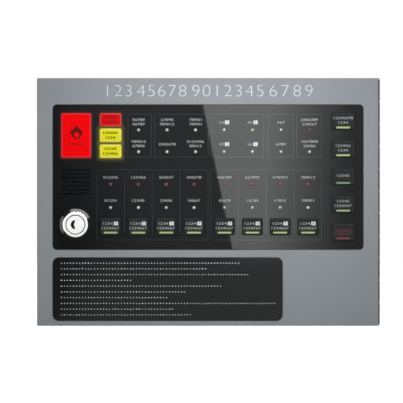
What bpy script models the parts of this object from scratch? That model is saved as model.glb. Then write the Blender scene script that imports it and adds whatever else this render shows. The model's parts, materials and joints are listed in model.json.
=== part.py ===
"""Wall-mounted fire alarm control panel.

Metres, +Z up. The back of the box lies on the plane y = 0 and the front faces -Y.
The origin is the middle of the back face.
"""

import math

import bmesh
import bpy
from mathutils import Matrix, Vector

OBJECT_NAME = "fire_alarm_control_panel"

# Enclosure, over the hinge barrel in width and to the front of the door in depth
PANEL_WIDTH = 0.360
PANEL_HEIGHT = 0.260
PANEL_DEPTH = 0.096
SHEET = 0.0012
GAP = 0.0003
CORNER_ROUND = 0.0008
EDGE_BEND = 0.0006

# Continuous hinge on the right edge
BARREL_RADIUS = 0.0023
BARREL_SHOWS = 0.0015
PIN_RADIUS = 0.0010
PIN_BORE_RADIUS = 0.0013
PIN_HEAD_RADIUS = 0.0022
PIN_HEAD = 0.0008
LEAF_LENGTH = 0.2564
BARREL_LENGTH = 0.2576
KNUCKLES = 11
KNUCKLE_GAP = 0.0002
LEAF_THICKNESS = 0.0010
BOX_LEAF_WIDTH = 0.0235
DOOR_LEAF_WIDTH = 0.0135
KNUCKLE_RELIEF = 0.0030

# Depths, measured from the wall
BOX_FRONT = -0.0770
DOOR_REAR = -0.0780
HINGE_SKIRT_REAR = -0.0825
HINGE_Y = -0.0797
DOOR_FRONT = -PANEL_DEPTH
FASCIA_FRONT = DOOR_FRONT - 0.0008
FASCIA_REAR = DOOR_FRONT + 0.0035
BOARD_FRONT = -0.0850

# Faces of the enclosure
LEFT_FACE = -PANEL_WIDTH / 2
HINGE_X = PANEL_WIDTH / 2 - BARREL_RADIUS
RIGHT_FACE = PANEL_WIDTH / 2 - BARREL_SHOWS
TOP_FACE = PANEL_HEIGHT / 2
LEAF_HIGH_X = RIGHT_FACE - SHEET - GAP
LEAF_LOW_X = LEAF_HIGH_X - LEAF_THICKNESS
INNER_BACK = -SHEET - GAP
SIDE_FLANGE = 0.008
END_FLANGE = 0.012

# Wall fixings and cable entries
FIXING_X = 0.165
KEYHOLE_Z = 0.1215
KEYHOLE_DROP = 0.0080
SLOT_Z = -0.112
KEYHOLE_HEAD_RADIUS = 0.0050
FIXING_SLOT_RADIUS = 0.00275
FIXING_SLOT_RISE = 0.0060
KNOCKOUTS = 8
KNOCKOUT_PITCH = 0.040
KNOCKOUT_RADIUS = 0.01025
KNOCKOUT_SET_BACK = 0.0005
KNOCKOUT_Y = -0.035

# Fascia and its window in the door
FASCIA_LEFT, FASCIA_RIGHT = -0.1635, 0.1625
FASCIA_BOTTOM, FASCIA_TOP = -0.0500, 0.1022
FASCIA_CORNER = 0.0042
FASCIA_EDGE = 0.0004
FASCIA_FLANGE = 0.0080
FASCIA_FLANGE_FRONT = DOOR_FRONT + SHEET + GAP
STUD_X = (-0.120, 0.0, 0.120)
STUD_Z = (FASCIA_BOTTOM - 0.0042, FASCIA_TOP + 0.0042)
STUD_RADIUS = 0.0015
STUD_REAR = -0.0880
BOSS_X = (-0.0820, 0.0010, 0.1210)
BOSS_Z = (-0.0440, 0.0380, 0.0955)
BOSS_RADIUS = 0.0028
BOSS_ROOT = 0.0005

# Instruction plate
LABEL_LEFT, LABEL_RIGHT = -0.1635, 0.0779
LABEL_BOTTOM, LABEL_TOP = -0.1246, -0.0581
LABEL_CORNER = 0.0065
LABEL_THICKNESS = 0.0006

# Lamps: left, right, bottom, top
LAMPS = {
    "fire_lamp_lens": (-0.1546, -0.1233, 0.0464, 0.0932),
    "alarm_lamp_lens": (-0.1140, -0.0916, 0.0795, 0.0932),
    "fault_lamp_lens": (-0.1140, -0.0916, 0.0632, 0.0769),
    "disabled_lamp_lens": (-0.1140, -0.0916, 0.0464, 0.0601),
}
RED_LAMPS = ("fire_lamp_lens", "alarm_lamp_lens")
LAMP_PROUD = 0.0009
LAMP_CORNER = 0.0017
LAMP_LIP = 0.0010
LAMP_WALL = 0.0014
LAMP_LIGHT_INSET = 0.0040
LAMP_LIGHT_HEIGHT = 0.0030

# Light points
LIGHT_RADIUS = 0.0015
LIGHT_HOLE_RADIUS = 0.0019
STATUS_FIRST_X = -0.0734
STATUS_PITCH = 0.0299
STATUS_COLUMNS = 7
STATUS_ROWS_Z = (0.0757, 0.0528)
ZONES = 8
ZONE_GROUP_X = (-0.0590, 0.0606)
ZONE_PITCH = 0.0292
ZONE_ROWS_Z = (0.0185, -0.0058)

# Keys
ZONE_KEY_SIZE = (0.0213, 0.0176)
ZONE_KEY_Z = -0.0259
FUNCTION_KEY_SIZE = (0.0250, 0.0173)
FUNCTION_KEY_X = 0.1414
FUNCTION_KEY_TOP_Z = 0.0845
FUNCTION_KEY_PITCH = 0.0291
FUNCTION_KEYS = ("silence_sounders", "mute_buzzer", "reset", "access", "evacuate")
KEY_PROUD = 0.0012
KEY_CORNER = 0.0014
KEY_EDGE = 0.0007
KEY_LIP = 0.0012
KEY_STEM_RADIUS = 0.0017
KEY_STEM_END = 0.0100
SWITCH_SIZE = 0.0064
SWITCH_FRONT = -0.0875
SWITCH_POCKET_RADIUS = 0.0021
SWITCH_POCKET_DEPTH = 0.0020
BAR_SIZE = (0.0142, 0.0019)
BAR_DROP = 0.0063
BAR_DEPTH = 0.0014
BAR_PROUD = 0.0001

# Sound holes and buzzer
SOUND_CENTRE = (-0.1392, 0.0212)
SOUND_ROWS = 7
SOUND_COLUMNS = 10
SOUND_ROW_PITCH = 0.0042
SOUND_HOLE_PITCH = 0.0032
SOUND_HOLE_RADIUS = 0.0013
BUZZER_RADIUS = 0.0120
BUZZER_EDGE = 0.0012
SOUND_PORT_RADIUS = 0.0016
SOUND_PORT_DEPTH = 0.0020

# Display board: its opposite corners, the corner left free for the lock, and its ribbon header
DISPLAY_BOARD = ((-0.158, -0.0475), (0.158, 0.0985))
LOCK_NOTCH_RIGHT, LOCK_NOTCH_TOP = -0.116, -0.002
DISPLAY_HEADER = ((-0.040, 0.030), (-0.005, 0.038))
DISPLAY_HEADER_HEIGHT = 0.0060

# Cam lock
LOCK_X, LOCK_Z = -0.13965, -0.0238
LOCK_FRONT = FASCIA_FRONT - 0.0042
BEZEL_RADIUS = 0.0170
BEZEL_EDGE = 0.0010
BEZEL_TOP = 0.0018
RING_RADIUS = 0.0135
RING_STEP = (0.0006, 0.0010)
PLUG_RADIUS = 0.0100
PLUG_EDGE = 0.0003
PLUG_BORE_RADIUS = 0.0103
LOCK_BARREL_RADIUS = 0.0122
LOCK_BARREL_END = -0.0742
LOCK_NUT_HEIGHT = 0.0040
CAM_FRONT = -0.0730
CAM_THICKNESS = 0.0020
CAM_REACH = 0.0300
CAM_WIDTH = 0.0140
CAM_CORNER = 0.0045
CAM_SQUARE = 0.0070
CAM_SCREW_RADIUS = 0.0056
CAM_SCREW_HEIGHT = 0.0030
DRIVER_SLOT_WIDTH = 0.0010
DRIVER_SLOT_DEPTH = 0.0012
KEYWAY_RADIUS = 0.0050
KEYWAY_FLAT = 0.0006
KEYWAY_DEPTH = 0.0060
STRIKER_HEIGHT = 0.026
STRIKER_INNER_X = -0.158
STRIKER_THICKNESS = 0.0015
STRIKER_CORNER = 0.0020

# Main board: its lower left and upper right corners, and how it stands off the back
MAIN_BOARD = ((-0.170, -0.012), (0.060, 0.106))
BOARD_THICKNESS = 0.0016
BOARD_CORNER = 0.0030
STANDOFF = 0.0080
STANDOFF_RADIUS = 0.0030
STANDOFF_INSET = 0.0060

# Parts soldered on the main board: size across, up and out, then count, inset, pitch and lower edge
RELAY_SIZE = (0.0155, 0.0200, 0.0155)
RELAYS, RELAY_INSET, RELAY_PITCH, RELAY_Z = 5, 0.016, 0.022, 0.066
FUSE_SIZE = (0.0090, 0.0220, 0.0090)
FUSES, FUSE_INSET, FUSE_PITCH, FUSE_Z = 4, 0.070, 0.016, 0.058
CAPACITOR_RADIUS, CAPACITOR_HEIGHT = 0.0063, 0.0200
CAPACITORS, CAPACITOR_INSET, CAPACITOR_PITCH, CAPACITOR_Z = 3, 0.016, 0.016, 0.004
PROCESSOR = ((-0.078, 0.020), (-0.058, 0.040))
PROCESSOR_HEIGHT = 0.0018
MAIN_HEADER = ((-0.040, 0.004), (-0.005, 0.012))
MAIN_HEADER_HEIGHT = 0.0090

# Screw terminals: each row's first edge and its number of ways
ZONE_TERMINALS_LEFT, ZONE_TERMINAL_WAYS = -0.156, 16
OUTPUT_TERMINALS_LEFT, OUTPUT_TERMINAL_WAYS = -0.060, 12
SUPPLY_TERMINAL_WAYS = 5
MAINS_TERMINALS_LEFT, MAINS_TERMINALS_Z, MAINS_TERMINAL_WAYS = 0.095, 0.096, 3
TERMINAL_ROW_Z = 0.089
TERMINAL_PITCH = 0.0052
TERMINAL_DEPTH = 0.0120
TERMINAL_HEIGHT = 0.0140
TERMINAL_STEP_HEIGHT = 0.0030
TERMINAL_STEP_DEPTH = 0.0050
SCREW_WELL_RADIUS = 0.0019
SCREW_WELL_DEPTH = 0.0030
SCREW_WELL_RISE = 0.38
WIRE_ENTRY_HALF_WIDTH = 0.0017
WIRE_ENTRY_FRONT, WIRE_ENTRY_REAR = 0.0065, 0.0105
WIRE_ENTRY_SINK = 0.0035

# Power supply: its lower left and upper right corners
SUPPLY = ((0.071, -0.012), (0.169, 0.088))
SUPPLY_DEPTH = 0.038
SUPPLY_EDGE = 0.0015
SUPPLY_SHELF = 0.018
SUPPLY_TERMINALS_RISE = 0.004
VENT_COLUMNS, VENT_INSET, VENT_PITCH, VENT_WIDTH = 9, 0.013, 0.009, 0.0036
VENT_ROWS = ((0.012, 0.036), (0.044, 0.068))

# Earth stud
EARTH_X, EARTH_Z = 0.140, 0.104
EARTH_STUD_RADIUS, EARTH_STUD_LENGTH = 0.0030, 0.020
EARTH_WASHER_RADIUS, EARTH_WASHER_TOP = 0.0065, 0.0025
EARTH_NUT_RADIUS, EARTH_NUT_TOP = 0.0056, 0.0075

# Batteries and their strap
BATTERY_SIZE = (0.151, 0.065, 0.094)
BATTERY_INNER_X = 0.0025
BATTERY_CORNER = 0.0020
LID_LINE_DROP, LID_LINE_HEIGHT, LID_LINE_DEPTH = 0.0125, 0.0010, 0.0007
VENT_STRIP_INSET, VENT_STRIP_RISE = 0.030, 0.0015
VENT_STRIP_SPAN = (0.25, 0.75)
TAB_INSET, TAB_WIDTH, TAB_THICKNESS, TAB_RISE = 0.012, 0.0048, 0.0008, 0.0058
TAB_SHARE = 0.12
FITTING_ROOT = 0.0020
BRACKET_THICKNESS = 0.0015
BRACKET_HEIGHT = 0.020
BRACKET_Z = -0.078
BRACKET_FOOT = 0.016


def srgb(code):
    """Linear colour of a six-digit hex code."""
    channels = [int(code[i:i + 2], 16) / 255 for i in (0, 2, 4)]
    linear = [c / 12.92 if c <= 0.04045 else ((c + 0.055) / 1.055) ** 2.4 for c in channels]
    return (*linear, 1.0)


def material(name, code, roughness, metallic=0.0):
    """A plain surface with its colour, roughness and metallic value."""
    surface = bpy.data.materials.new(name)
    surface.use_nodes = True
    shader = surface.node_tree.nodes["Principled BSDF"]
    shader.inputs["Base Color"].default_value = srgb(code)
    shader.inputs["Roughness"].default_value = roughness
    shader.inputs["Metallic"].default_value = metallic
    surface.diffuse_color = srgb(code)
    return surface


def add_block(shape, low, high, round_axis=None, radius=0.0, segments=3):
    """Add a block between two corners, with its edges along one axis rounded."""
    low = Vector(low)
    high = Vector(high)
    place = Matrix.Translation((low + high) / 2) @ Matrix.Diagonal((*(high - low), 1.0))
    made = bmesh.ops.create_cube(shape, size=1.0, matrix=place)
    if round_axis is None:
        return
    axis = "XYZ".index(round_axis)
    edges = set()
    for vert in made["verts"]:
        edges.update(vert.link_edges)
    along = []
    for edge in edges:
        run = edge.verts[1].co - edge.verts[0].co
        if abs(run[axis]) > 0.999 * run.length:
            along.append(edge)
    bmesh.ops.bevel(shape, geom=along, offset=radius, segments=segments, profile=0.5, affect="EDGES")


def add_rod(shape, start, end, radius, segments=16):
    """Add a capped cylinder between two points."""
    start = Vector(start)
    end = Vector(end)
    run = end - start
    turn = Vector((0, 0, 1)).rotation_difference(run).to_matrix().to_4x4()
    place = Matrix.Translation((start + end) / 2) @ turn
    bmesh.ops.create_cone(
        shape, cap_ends=True, segments=segments, radius1=radius, radius2=radius,
        depth=run.length, matrix=place,
    )


def ease_front_edges(shape, width):
    """Chamfer the edges that lie on the frontmost face of a shape."""
    front = min(vert.co.y for vert in shape.verts)
    rim = [edge for edge in shape.edges if all(abs(vert.co.y - front) < 1e-6 for vert in edge.verts)]
    bmesh.ops.bevel(shape, geom=rim, offset=width, segments=1, affect="EDGES")


def make_object(name, shape, collection):
    """Turn a shape into an object."""
    mesh = bpy.data.meshes.new(name)
    shape.to_mesh(mesh)
    shape.free()
    thing = bpy.data.objects.new(name, mesh)
    collection.objects.link(thing)
    return thing


def make_part(name, shape, surface, pivot=None):
    """Make a sub-part with its material; one that moves hangs on its pivot."""
    part = make_object(name, shape, PARTS)
    part.data.materials.append(surface)
    if pivot is not None:
        hang(part, pivot)
    return part


def hang(thing, pivot):
    """Parent an object to a pivot without moving it."""
    thing.parent = pivot
    thing.matrix_parent_inverse = Matrix.Translation(pivot.location).inverted()


def make_pivot(name, location, parent=None):
    """An empty on a joint's axis."""
    pivot = bpy.data.objects.new(name, None)
    pivot.empty_display_size = 0.02
    pivot.location = location
    PARTS.objects.link(pivot)
    if parent is not None:
        hang(pivot, parent)
    return pivot


def combine(part, shape, operation, name):
    """Cut a shape from a part, or join it on."""
    tool = make_object(part.name + "_" + name, shape, CUTTERS)
    tool.hide_render = True
    tool.display_type = "WIRE"
    step = part.modifiers.new(name, "BOOLEAN")
    step.operation = operation
    step.solver = "EXACT"
    step.object = tool
    return tool


def cut(part, shape, name):
    """Cut a shape from a part."""
    return combine(part, shape, "DIFFERENCE", name)


def join(part, shape, name):
    """Join a shape onto a part."""
    return combine(part, shape, "UNION", name)


def shade_round(part, angle=35):
    """Shade a part smooth, with its hard edges kept."""
    part.data.shade_smooth()
    part.data.set_sharp_from_angle(angle=math.radians(angle))


def turned_part(name, profile, steps, surface, pivot, x, z):
    """Turn a profile of radius and depth about an axis that runs from front to back."""
    shape = bmesh.new()
    points = [shape.verts.new((radius, 0, -depth)) for radius, depth in profile]
    for first, second in zip(points, points[1:]):
        shape.edges.new((first, second))
    if profile[0][0] > 0:
        shape.edges.new((points[-1], points[0]))
    part = make_part(name, shape, surface, pivot)
    part.location = (x, 0, z)
    part.rotation_euler = (math.pi / 2, 0, 0)
    turn = part.modifiers.new("turn", "SCREW")
    turn.steps = steps
    turn.render_steps = steps
    turn.use_merge_vertices = True
    turn.merge_threshold = 0.00005
    return part


def zone_x(zone):
    """Column of a zone, counted from 0, in two groups of four."""
    half = ZONES // 2
    return ZONE_GROUP_X[zone // half] + (zone % half - (half - 1) / 2) * ZONE_PITCH


def light_places():
    """Centres of all light points on the fascia."""
    places = []
    for column in range(STATUS_COLUMNS):
        for z in STATUS_ROWS_Z:
            places.append((STATUS_FIRST_X + column * STATUS_PITCH, z))
    for zone in range(ZONES):
        for z in ZONE_ROWS_Z:
            places.append((zone_x(zone), z))
    return places


def key_places():
    """Each key's name, centre and size."""
    places = []
    for zone in range(ZONES):
        places.append((f"zone_{zone + 1}", zone_x(zone), ZONE_KEY_Z, ZONE_KEY_SIZE))
    for row, name in enumerate(FUNCTION_KEYS):
        z = FUNCTION_KEY_TOP_Z - row * FUNCTION_KEY_PITCH
        places.append((name, FUNCTION_KEY_X, z, FUNCTION_KEY_SIZE))
    return places


def sound_places():
    """Centres of the sound holes, in staggered rows."""
    places = []
    for row in range(SOUND_ROWS):
        holes = SOUND_COLUMNS - row % 2
        z = SOUND_CENTRE[1] + (row - (SOUND_ROWS - 1) / 2) * SOUND_ROW_PITCH
        for hole in range(holes):
            places.append((SOUND_CENTRE[0] + (hole - (holes - 1) / 2) * SOUND_HOLE_PITCH, z))
    return places


def standoff_places():
    """Corners of the main board, set in from its edges."""
    (left, bottom), (right, top) = MAIN_BOARD
    across = (left + STANDOFF_INSET, right - STANDOFF_INSET)
    upward = (bottom + STANDOFF_INSET, top - STANDOFF_INSET)
    return [(x, z) for x in across for z in upward]


def build_back_box():
    """Folded steel tray: return flanges, keyholes, knock-outs and stand-offs."""
    shape = bmesh.new()
    add_block(shape, (LEFT_FACE, BOX_FRONT, -TOP_FACE), (RIGHT_FACE, 0, TOP_FACE), "Y", CORNER_ROUND, 2)
    box = make_part("back_box", shape, STEEL_GREY)

    hollow = bmesh.new()
    add_block(
        hollow,
        (LEFT_FACE + SHEET, BOX_FRONT + SHEET, SHEET - TOP_FACE),
        (RIGHT_FACE - SHEET, -SHEET, TOP_FACE - SHEET),
    )
    cut(box, hollow, "hollow")

    mouth = bmesh.new()
    add_block(
        mouth,
        (LEFT_FACE + SIDE_FLANGE, BOX_FRONT - SHEET, END_FLANGE - TOP_FACE),
        (RIGHT_FACE - SHEET, BOX_FRONT + 2 * SHEET, TOP_FACE - END_FLANGE),
    )
    cut(box, mouth, "mouth")

    notch = bmesh.new()
    add_block(
        notch,
        (LEAF_LOW_X - GAP, BOX_FRONT - SHEET, SHEET - TOP_FACE),
        (RIGHT_FACE - SHEET, BOX_FRONT + 2 * SHEET, TOP_FACE - SHEET),
    )
    cut(box, notch, "hinge_notch")

    heads = bmesh.new()
    head_z = KEYHOLE_Z - KEYHOLE_DROP
    for x in (-FIXING_X, FIXING_X):
        add_rod(heads, (x, -2 * SHEET, head_z), (x, SHEET, head_z), KEYHOLE_HEAD_RADIUS, 16)
    cut(box, heads, "keyhole_heads")
    slots = bmesh.new()
    for x in (-FIXING_X, FIXING_X):
        for bottom, top in ((head_z, KEYHOLE_Z), (SLOT_Z, SLOT_Z + FIXING_SLOT_RISE)):
            add_block(
                slots,
                (x - FIXING_SLOT_RADIUS, -2 * SHEET, bottom - FIXING_SLOT_RADIUS),
                (x + FIXING_SLOT_RADIUS, SHEET, top + FIXING_SLOT_RADIUS),
                "Y", FIXING_SLOT_RADIUS * 0.98, 3,
            )
    cut(box, slots, "fixing_slots")

    blanks = bmesh.new()
    for index in range(KNOCKOUTS):
        x = (index - (KNOCKOUTS - 1) / 2) * KNOCKOUT_PITCH
        bottom = TOP_FACE - KNOCKOUT_SET_BACK
        add_rod(blanks, (x, KNOCKOUT_Y, bottom), (x, KNOCKOUT_Y, TOP_FACE + SHEET), KNOCKOUT_RADIUS, 12)
    cut(box, blanks, "knockouts")

    posts = bmesh.new()
    for x, z in standoff_places():
        add_rod(posts, (x, -SHEET / 2, z), (x, -SHEET - STANDOFF, z), STANDOFF_RADIUS, 8)
    join(box, posts, "standoffs")
    return box


def build_door(pivot):
    """Folded steel door with the fascia's window, weld studs and a cut-back skirt at the hinge."""
    shape = bmesh.new()
    add_block(
        shape,
        (LEFT_FACE, DOOR_FRONT, -TOP_FACE), (RIGHT_FACE, DOOR_REAR, TOP_FACE),
        "Y", CORNER_ROUND, 2,
    )
    ease_front_edges(shape, EDGE_BEND)
    door = make_part("door_panel", shape, STEEL_GREY, pivot)

    hollow = bmesh.new()
    add_block(
        hollow,
        (LEFT_FACE + SHEET, DOOR_FRONT + SHEET, SHEET - TOP_FACE),
        (RIGHT_FACE - SHEET, DOOR_REAR + SHEET, TOP_FACE - SHEET),
    )
    cut(door, hollow, "hollow")

    relief = bmesh.new()
    add_block(
        relief,
        (RIGHT_FACE - 3 * SHEET, HINGE_SKIRT_REAR, -TOP_FACE - SHEET),
        (RIGHT_FACE + SHEET, DOOR_REAR + SHEET, TOP_FACE + SHEET),
    )
    cut(door, relief, "hinge_relief")

    window = bmesh.new()
    add_block(
        window,
        (FASCIA_LEFT - GAP, DOOR_FRONT - SHEET, FASCIA_BOTTOM - GAP),
        (FASCIA_RIGHT + GAP, DOOR_FRONT + 2 * SHEET, FASCIA_TOP + GAP),
        "Y", FASCIA_CORNER + GAP, 4,
    )
    cut(door, window, "window")

    studs = bmesh.new()
    for x in STUD_X:
        for z in STUD_Z:
            add_rod(studs, (x, DOOR_FRONT + SHEET / 2, z), (x, STUD_REAR, z), STUD_RADIUS, 8)
    join(door, studs, "weld_studs")
    return door


def knuckle_span(index):
    """Lower and upper end of a hinge knuckle."""
    length = BARREL_LENGTH / KNUCKLES
    bottom = -BARREL_LENGTH / 2 + index * length
    return bottom + KNUCKLE_GAP, bottom + length - KNUCKLE_GAP


def build_hinge_leaf(name, first_knuckle, outer_edge, pivot=None):
    """One leaf of the continuous hinge, with every second knuckle rolled on it."""
    near, far = sorted((HINGE_Y, outer_edge))
    shape = bmesh.new()
    add_block(shape, (LEAF_LOW_X, near, -LEAF_LENGTH / 2), (LEAF_HIGH_X, far, LEAF_LENGTH / 2))
    leaf = make_part(name, shape, HINGE_STEEL, pivot)

    own = bmesh.new()
    others = bmesh.new()
    for index in range(KNUCKLES):
        bottom, top = knuckle_span(index)
        if index % 2 == first_knuckle:
            add_rod(own, (HINGE_X, HINGE_Y, bottom), (HINGE_X, HINGE_Y, top), BARREL_RADIUS, 12)
        else:
            add_block(
                others,
                (LEAF_LOW_X - SHEET, HINGE_Y - KNUCKLE_RELIEF, bottom - 2 * KNUCKLE_GAP),
                (HINGE_X + 2 * BARREL_RADIUS, HINGE_Y + KNUCKLE_RELIEF, top + 2 * KNUCKLE_GAP),
            )
    join(leaf, own, "knuckles")
    cut(leaf, others, "relief")
    bore = bmesh.new()
    reach = BARREL_LENGTH / 2 + SHEET
    add_rod(bore, (HINGE_X, HINGE_Y, -reach), (HINGE_X, HINGE_Y, reach), PIN_BORE_RADIUS, 10)
    cut(leaf, bore, "pin_bore")
    shade_round(leaf)
    return leaf


def build_hinge_pin():
    """Pin through all knuckles, with a peened head at each end."""
    half = BARREL_LENGTH / 2
    shape = bmesh.new()
    reach = half + PIN_HEAD
    add_rod(shape, (HINGE_X, HINGE_Y, -reach), (HINGE_X, HINGE_Y, reach), PIN_RADIUS, 12)
    pin = make_part("hinge_pin", shape, BRIGHT_STEEL)
    heads = bmesh.new()
    for side in (-1, 1):
        low = (HINGE_X, HINGE_Y, side * (half + GAP))
        high = (HINGE_X, HINGE_Y, side * (reach + GAP))
        add_rod(heads, low, high, PIN_HEAD_RADIUS, 12)
    join(pin, heads, "heads")
    shade_round(pin)
    return pin


def build_fascia(pivot):
    """Moulded black front: stepped edge, screw bosses and every opening in it."""
    shape = bmesh.new()
    add_block(
        shape,
        (FASCIA_LEFT, FASCIA_FRONT, FASCIA_BOTTOM), (FASCIA_RIGHT, FASCIA_REAR, FASCIA_TOP),
        "Y", FASCIA_CORNER, 5,
    )
    ease_front_edges(shape, FASCIA_EDGE)
    fascia = make_part("fascia", shape, GLOSS_BLACK, pivot)

    flange = bmesh.new()
    add_block(
        flange,
        (FASCIA_LEFT - FASCIA_FLANGE, FASCIA_FLANGE_FRONT, FASCIA_BOTTOM - FASCIA_FLANGE),
        (FASCIA_RIGHT + FASCIA_FLANGE, FASCIA_REAR, FASCIA_TOP + FASCIA_FLANGE),
        "Y", FASCIA_CORNER, 3,
    )
    join(fascia, flange, "flange")

    bosses = bmesh.new()
    for x in BOSS_X:
        for z in BOSS_Z:
            add_rod(bosses, (x, FASCIA_REAR - BOSS_ROOT, z), (x, BOARD_FRONT - GAP, z), BOSS_RADIUS, 6)
    join(fascia, bosses, "bosses")

    front = FASCIA_FRONT - SHEET
    rear = FASCIA_REAR + SHEET
    openings = bmesh.new()
    for left, right, bottom, top in LAMPS.values():
        add_block(
            openings,
            (left - GAP, front, bottom - GAP), (right + GAP, rear, top + GAP),
            "Y", LAMP_CORNER + GAP, 2,
        )
    for _, x, z, (width, height) in key_places():
        half_width = width / 2 + GAP
        half_height = height / 2 + GAP
        add_block(
            openings,
            (x - half_width, front, z - half_height), (x + half_width, rear, z + half_height),
            "Y", KEY_CORNER, 1,
        )
    for x, z in light_places():
        add_rod(openings, (x, front, z), (x, rear, z), LIGHT_HOLE_RADIUS, 6)
    for x, z in sound_places():
        add_rod(openings, (x, front, z), (x, rear, z), SOUND_HOLE_RADIUS, 6)
    for x in STUD_X:
        for z in STUD_Z:
            add_rod(openings, (x, front, z), (x, rear, z), STUD_RADIUS + 2 * GAP, 8)
    add_rod(openings, (LOCK_X, front, LOCK_Z), (LOCK_X, rear, LOCK_Z), LOCK_BARREL_RADIUS + GAP, 32)
    cut(fascia, openings, "openings")
    return fascia


def build_label_plate(pivot):
    """Thin instruction plate on the door's lower half."""
    rear = DOOR_FRONT - GAP
    shape = bmesh.new()
    add_block(
        shape,
        (LABEL_LEFT, rear - LABEL_THICKNESS, LABEL_BOTTOM), (LABEL_RIGHT, rear, LABEL_TOP),
        "Y", LABEL_CORNER, 6,
    )
    return make_part("label_plate", shape, LABEL_BLACK, pivot)


def build_lamp(name, pivot):
    """Moulded lens set in the fascia from behind, hollow at the back, with a lip that holds it."""
    left, right, bottom, top = LAMPS[name]
    lip_front = FASCIA_REAR + GAP
    lip_rear = lip_front + LAMP_LIP
    shape = bmesh.new()
    add_block(
        shape, (left, FASCIA_FRONT - LAMP_PROUD, bottom), (right, lip_rear, top), "Y", LAMP_CORNER, 2
    )
    ease_front_edges(shape, LAMP_PROUD)
    lens = make_part(name, shape, LAMP_RED if name in RED_LAMPS else LAMP_YELLOW, pivot)
    lip = bmesh.new()
    add_block(
        lip,
        (left - LAMP_LIP, lip_front, bottom - LAMP_LIP),
        (right + LAMP_LIP, lip_rear - GAP / 2, top + LAMP_LIP),
    )
    join(lens, lip, "lip")
    hollow = bmesh.new()
    add_block(
        hollow,
        (left + LAMP_WALL, FASCIA_FRONT + 2 * LAMP_WALL, bottom + LAMP_WALL),
        (right - LAMP_WALL, lip_rear + LAMP_WALL, top - LAMP_WALL),
    )
    cut(lens, hollow, "hollow")
    return lens


def build_display_board(pivot):
    """Circuit board behind the fascia with its light points, lamp lights, push switches and header."""
    rear = BOARD_FRONT + BOARD_THICKNESS
    root = BOARD_FRONT + BOARD_THICKNESS / 2
    (left, bottom), (right, top) = DISPLAY_BOARD
    shape = bmesh.new()
    add_block(shape, (left, BOARD_FRONT, bottom), (right, rear, top))
    board = make_part("display_board", shape, BOARD_GREEN, pivot)
    notch = bmesh.new()
    add_block(
        notch,
        (left - SHEET, BOARD_FRONT - SHEET, bottom - SHEET),
        (LOCK_NOTCH_RIGHT, rear + SHEET, LOCK_NOTCH_TOP),
    )
    cut(board, notch, "lock_notch")

    raised = bmesh.new()
    for x, z in light_places():
        add_rod(raised, (x, root, z), (x, FASCIA_FRONT + GAP, z), LIGHT_RADIUS, 6)
    for left, right, bottom, top in LAMPS.values():
        add_block(
            raised,
            (left + LAMP_LIGHT_INSET, BOARD_FRONT - LAMP_LIGHT_HEIGHT, bottom + LAMP_LIGHT_INSET),
            (right - LAMP_LIGHT_INSET, root, top - LAMP_LIGHT_INSET),
        )
    half = SWITCH_SIZE / 2
    for _, x, z, _ in key_places():
        add_block(raised, (x - half, SWITCH_FRONT, z - half), (x + half, root, z + half))
    (left, bottom), (right, top) = DISPLAY_HEADER
    add_block(raised, (left, root, bottom), (right, rear + DISPLAY_HEADER_HEIGHT, top))
    join(board, raised, "components")
    pockets = bmesh.new()
    for _, x, z, _ in key_places():
        floor = SWITCH_FRONT + SWITCH_POCKET_DEPTH
        add_rod(pockets, (x, SWITCH_FRONT - SHEET, z), (x, floor, z), SWITCH_POCKET_RADIUS, 6)
    cut(board, pockets, "switch_pockets")
    return board


def build_buzzer(pivot):
    """Round sounder on the display board, with its sound port towards the holes."""
    front = FASCIA_REAR + GAP
    rear = BOARD_FRONT - GAP
    profile = [
        (0.0, front + SOUND_PORT_DEPTH),
        (SOUND_PORT_RADIUS, front + SOUND_PORT_DEPTH),
        (SOUND_PORT_RADIUS, front),
        (BUZZER_RADIUS - BUZZER_EDGE, front),
        (BUZZER_RADIUS, front + BUZZER_EDGE),
        (BUZZER_RADIUS, rear),
        (0.0, rear),
    ]
    buzzer = turned_part("buzzer", profile, 24, MATTE_BLACK, pivot, *SOUND_CENTRE)
    shade_round(buzzer)
    return buzzer


def key_mesh(size):
    """Keycap with a slot for its light bar, a lip that holds it in and a stem to its switch."""
    half_width = size[0] / 2
    half_height = size[1] / 2
    lip_front = FASCIA_REAR + GAP - FASCIA_FRONT
    lip_rear = lip_front + KEY_LIP
    shape = bmesh.new()
    add_block(
        shape,
        (-half_width, -KEY_PROUD, -half_height), (half_width, lip_rear, half_height),
        "Y", KEY_CORNER, 1,
    )
    ease_front_edges(shape, KEY_EDGE)
    pattern = make_object("key_pattern", shape, CUTTERS)
    lip = bmesh.new()
    add_block(
        lip,
        (-half_width - KEY_LIP, lip_front, -half_height - KEY_LIP),
        (half_width + KEY_LIP, lip_rear - GAP / 2, half_height + KEY_LIP),
    )
    slot = bmesh.new()
    bar_width, bar_height = BAR_SIZE
    add_block(
        slot,
        (-bar_width / 2 - GAP, -2 * KEY_PROUD, -BAR_DROP - bar_height / 2 - GAP),
        (bar_width / 2 + GAP, BAR_DEPTH - KEY_PROUD + GAP, -BAR_DROP + bar_height / 2 + GAP),
    )
    stem = bmesh.new()
    add_rod(stem, (0, lip_rear - KEY_LIP / 2, 0), (0, KEY_STEM_END, 0), KEY_STEM_RADIUS, 8)
    tools = [join(pattern, lip, "lip"), cut(pattern, slot, "bar_slot"), join(pattern, stem, "stem")]
    solid = bpy.data.meshes.new_from_object(pattern.evaluated_get(bpy.context.evaluated_depsgraph_get()))
    for thing in (pattern, *tools):
        bpy.data.objects.remove(thing)
    solid.materials.append(KEY_BLACK)
    return solid


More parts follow.
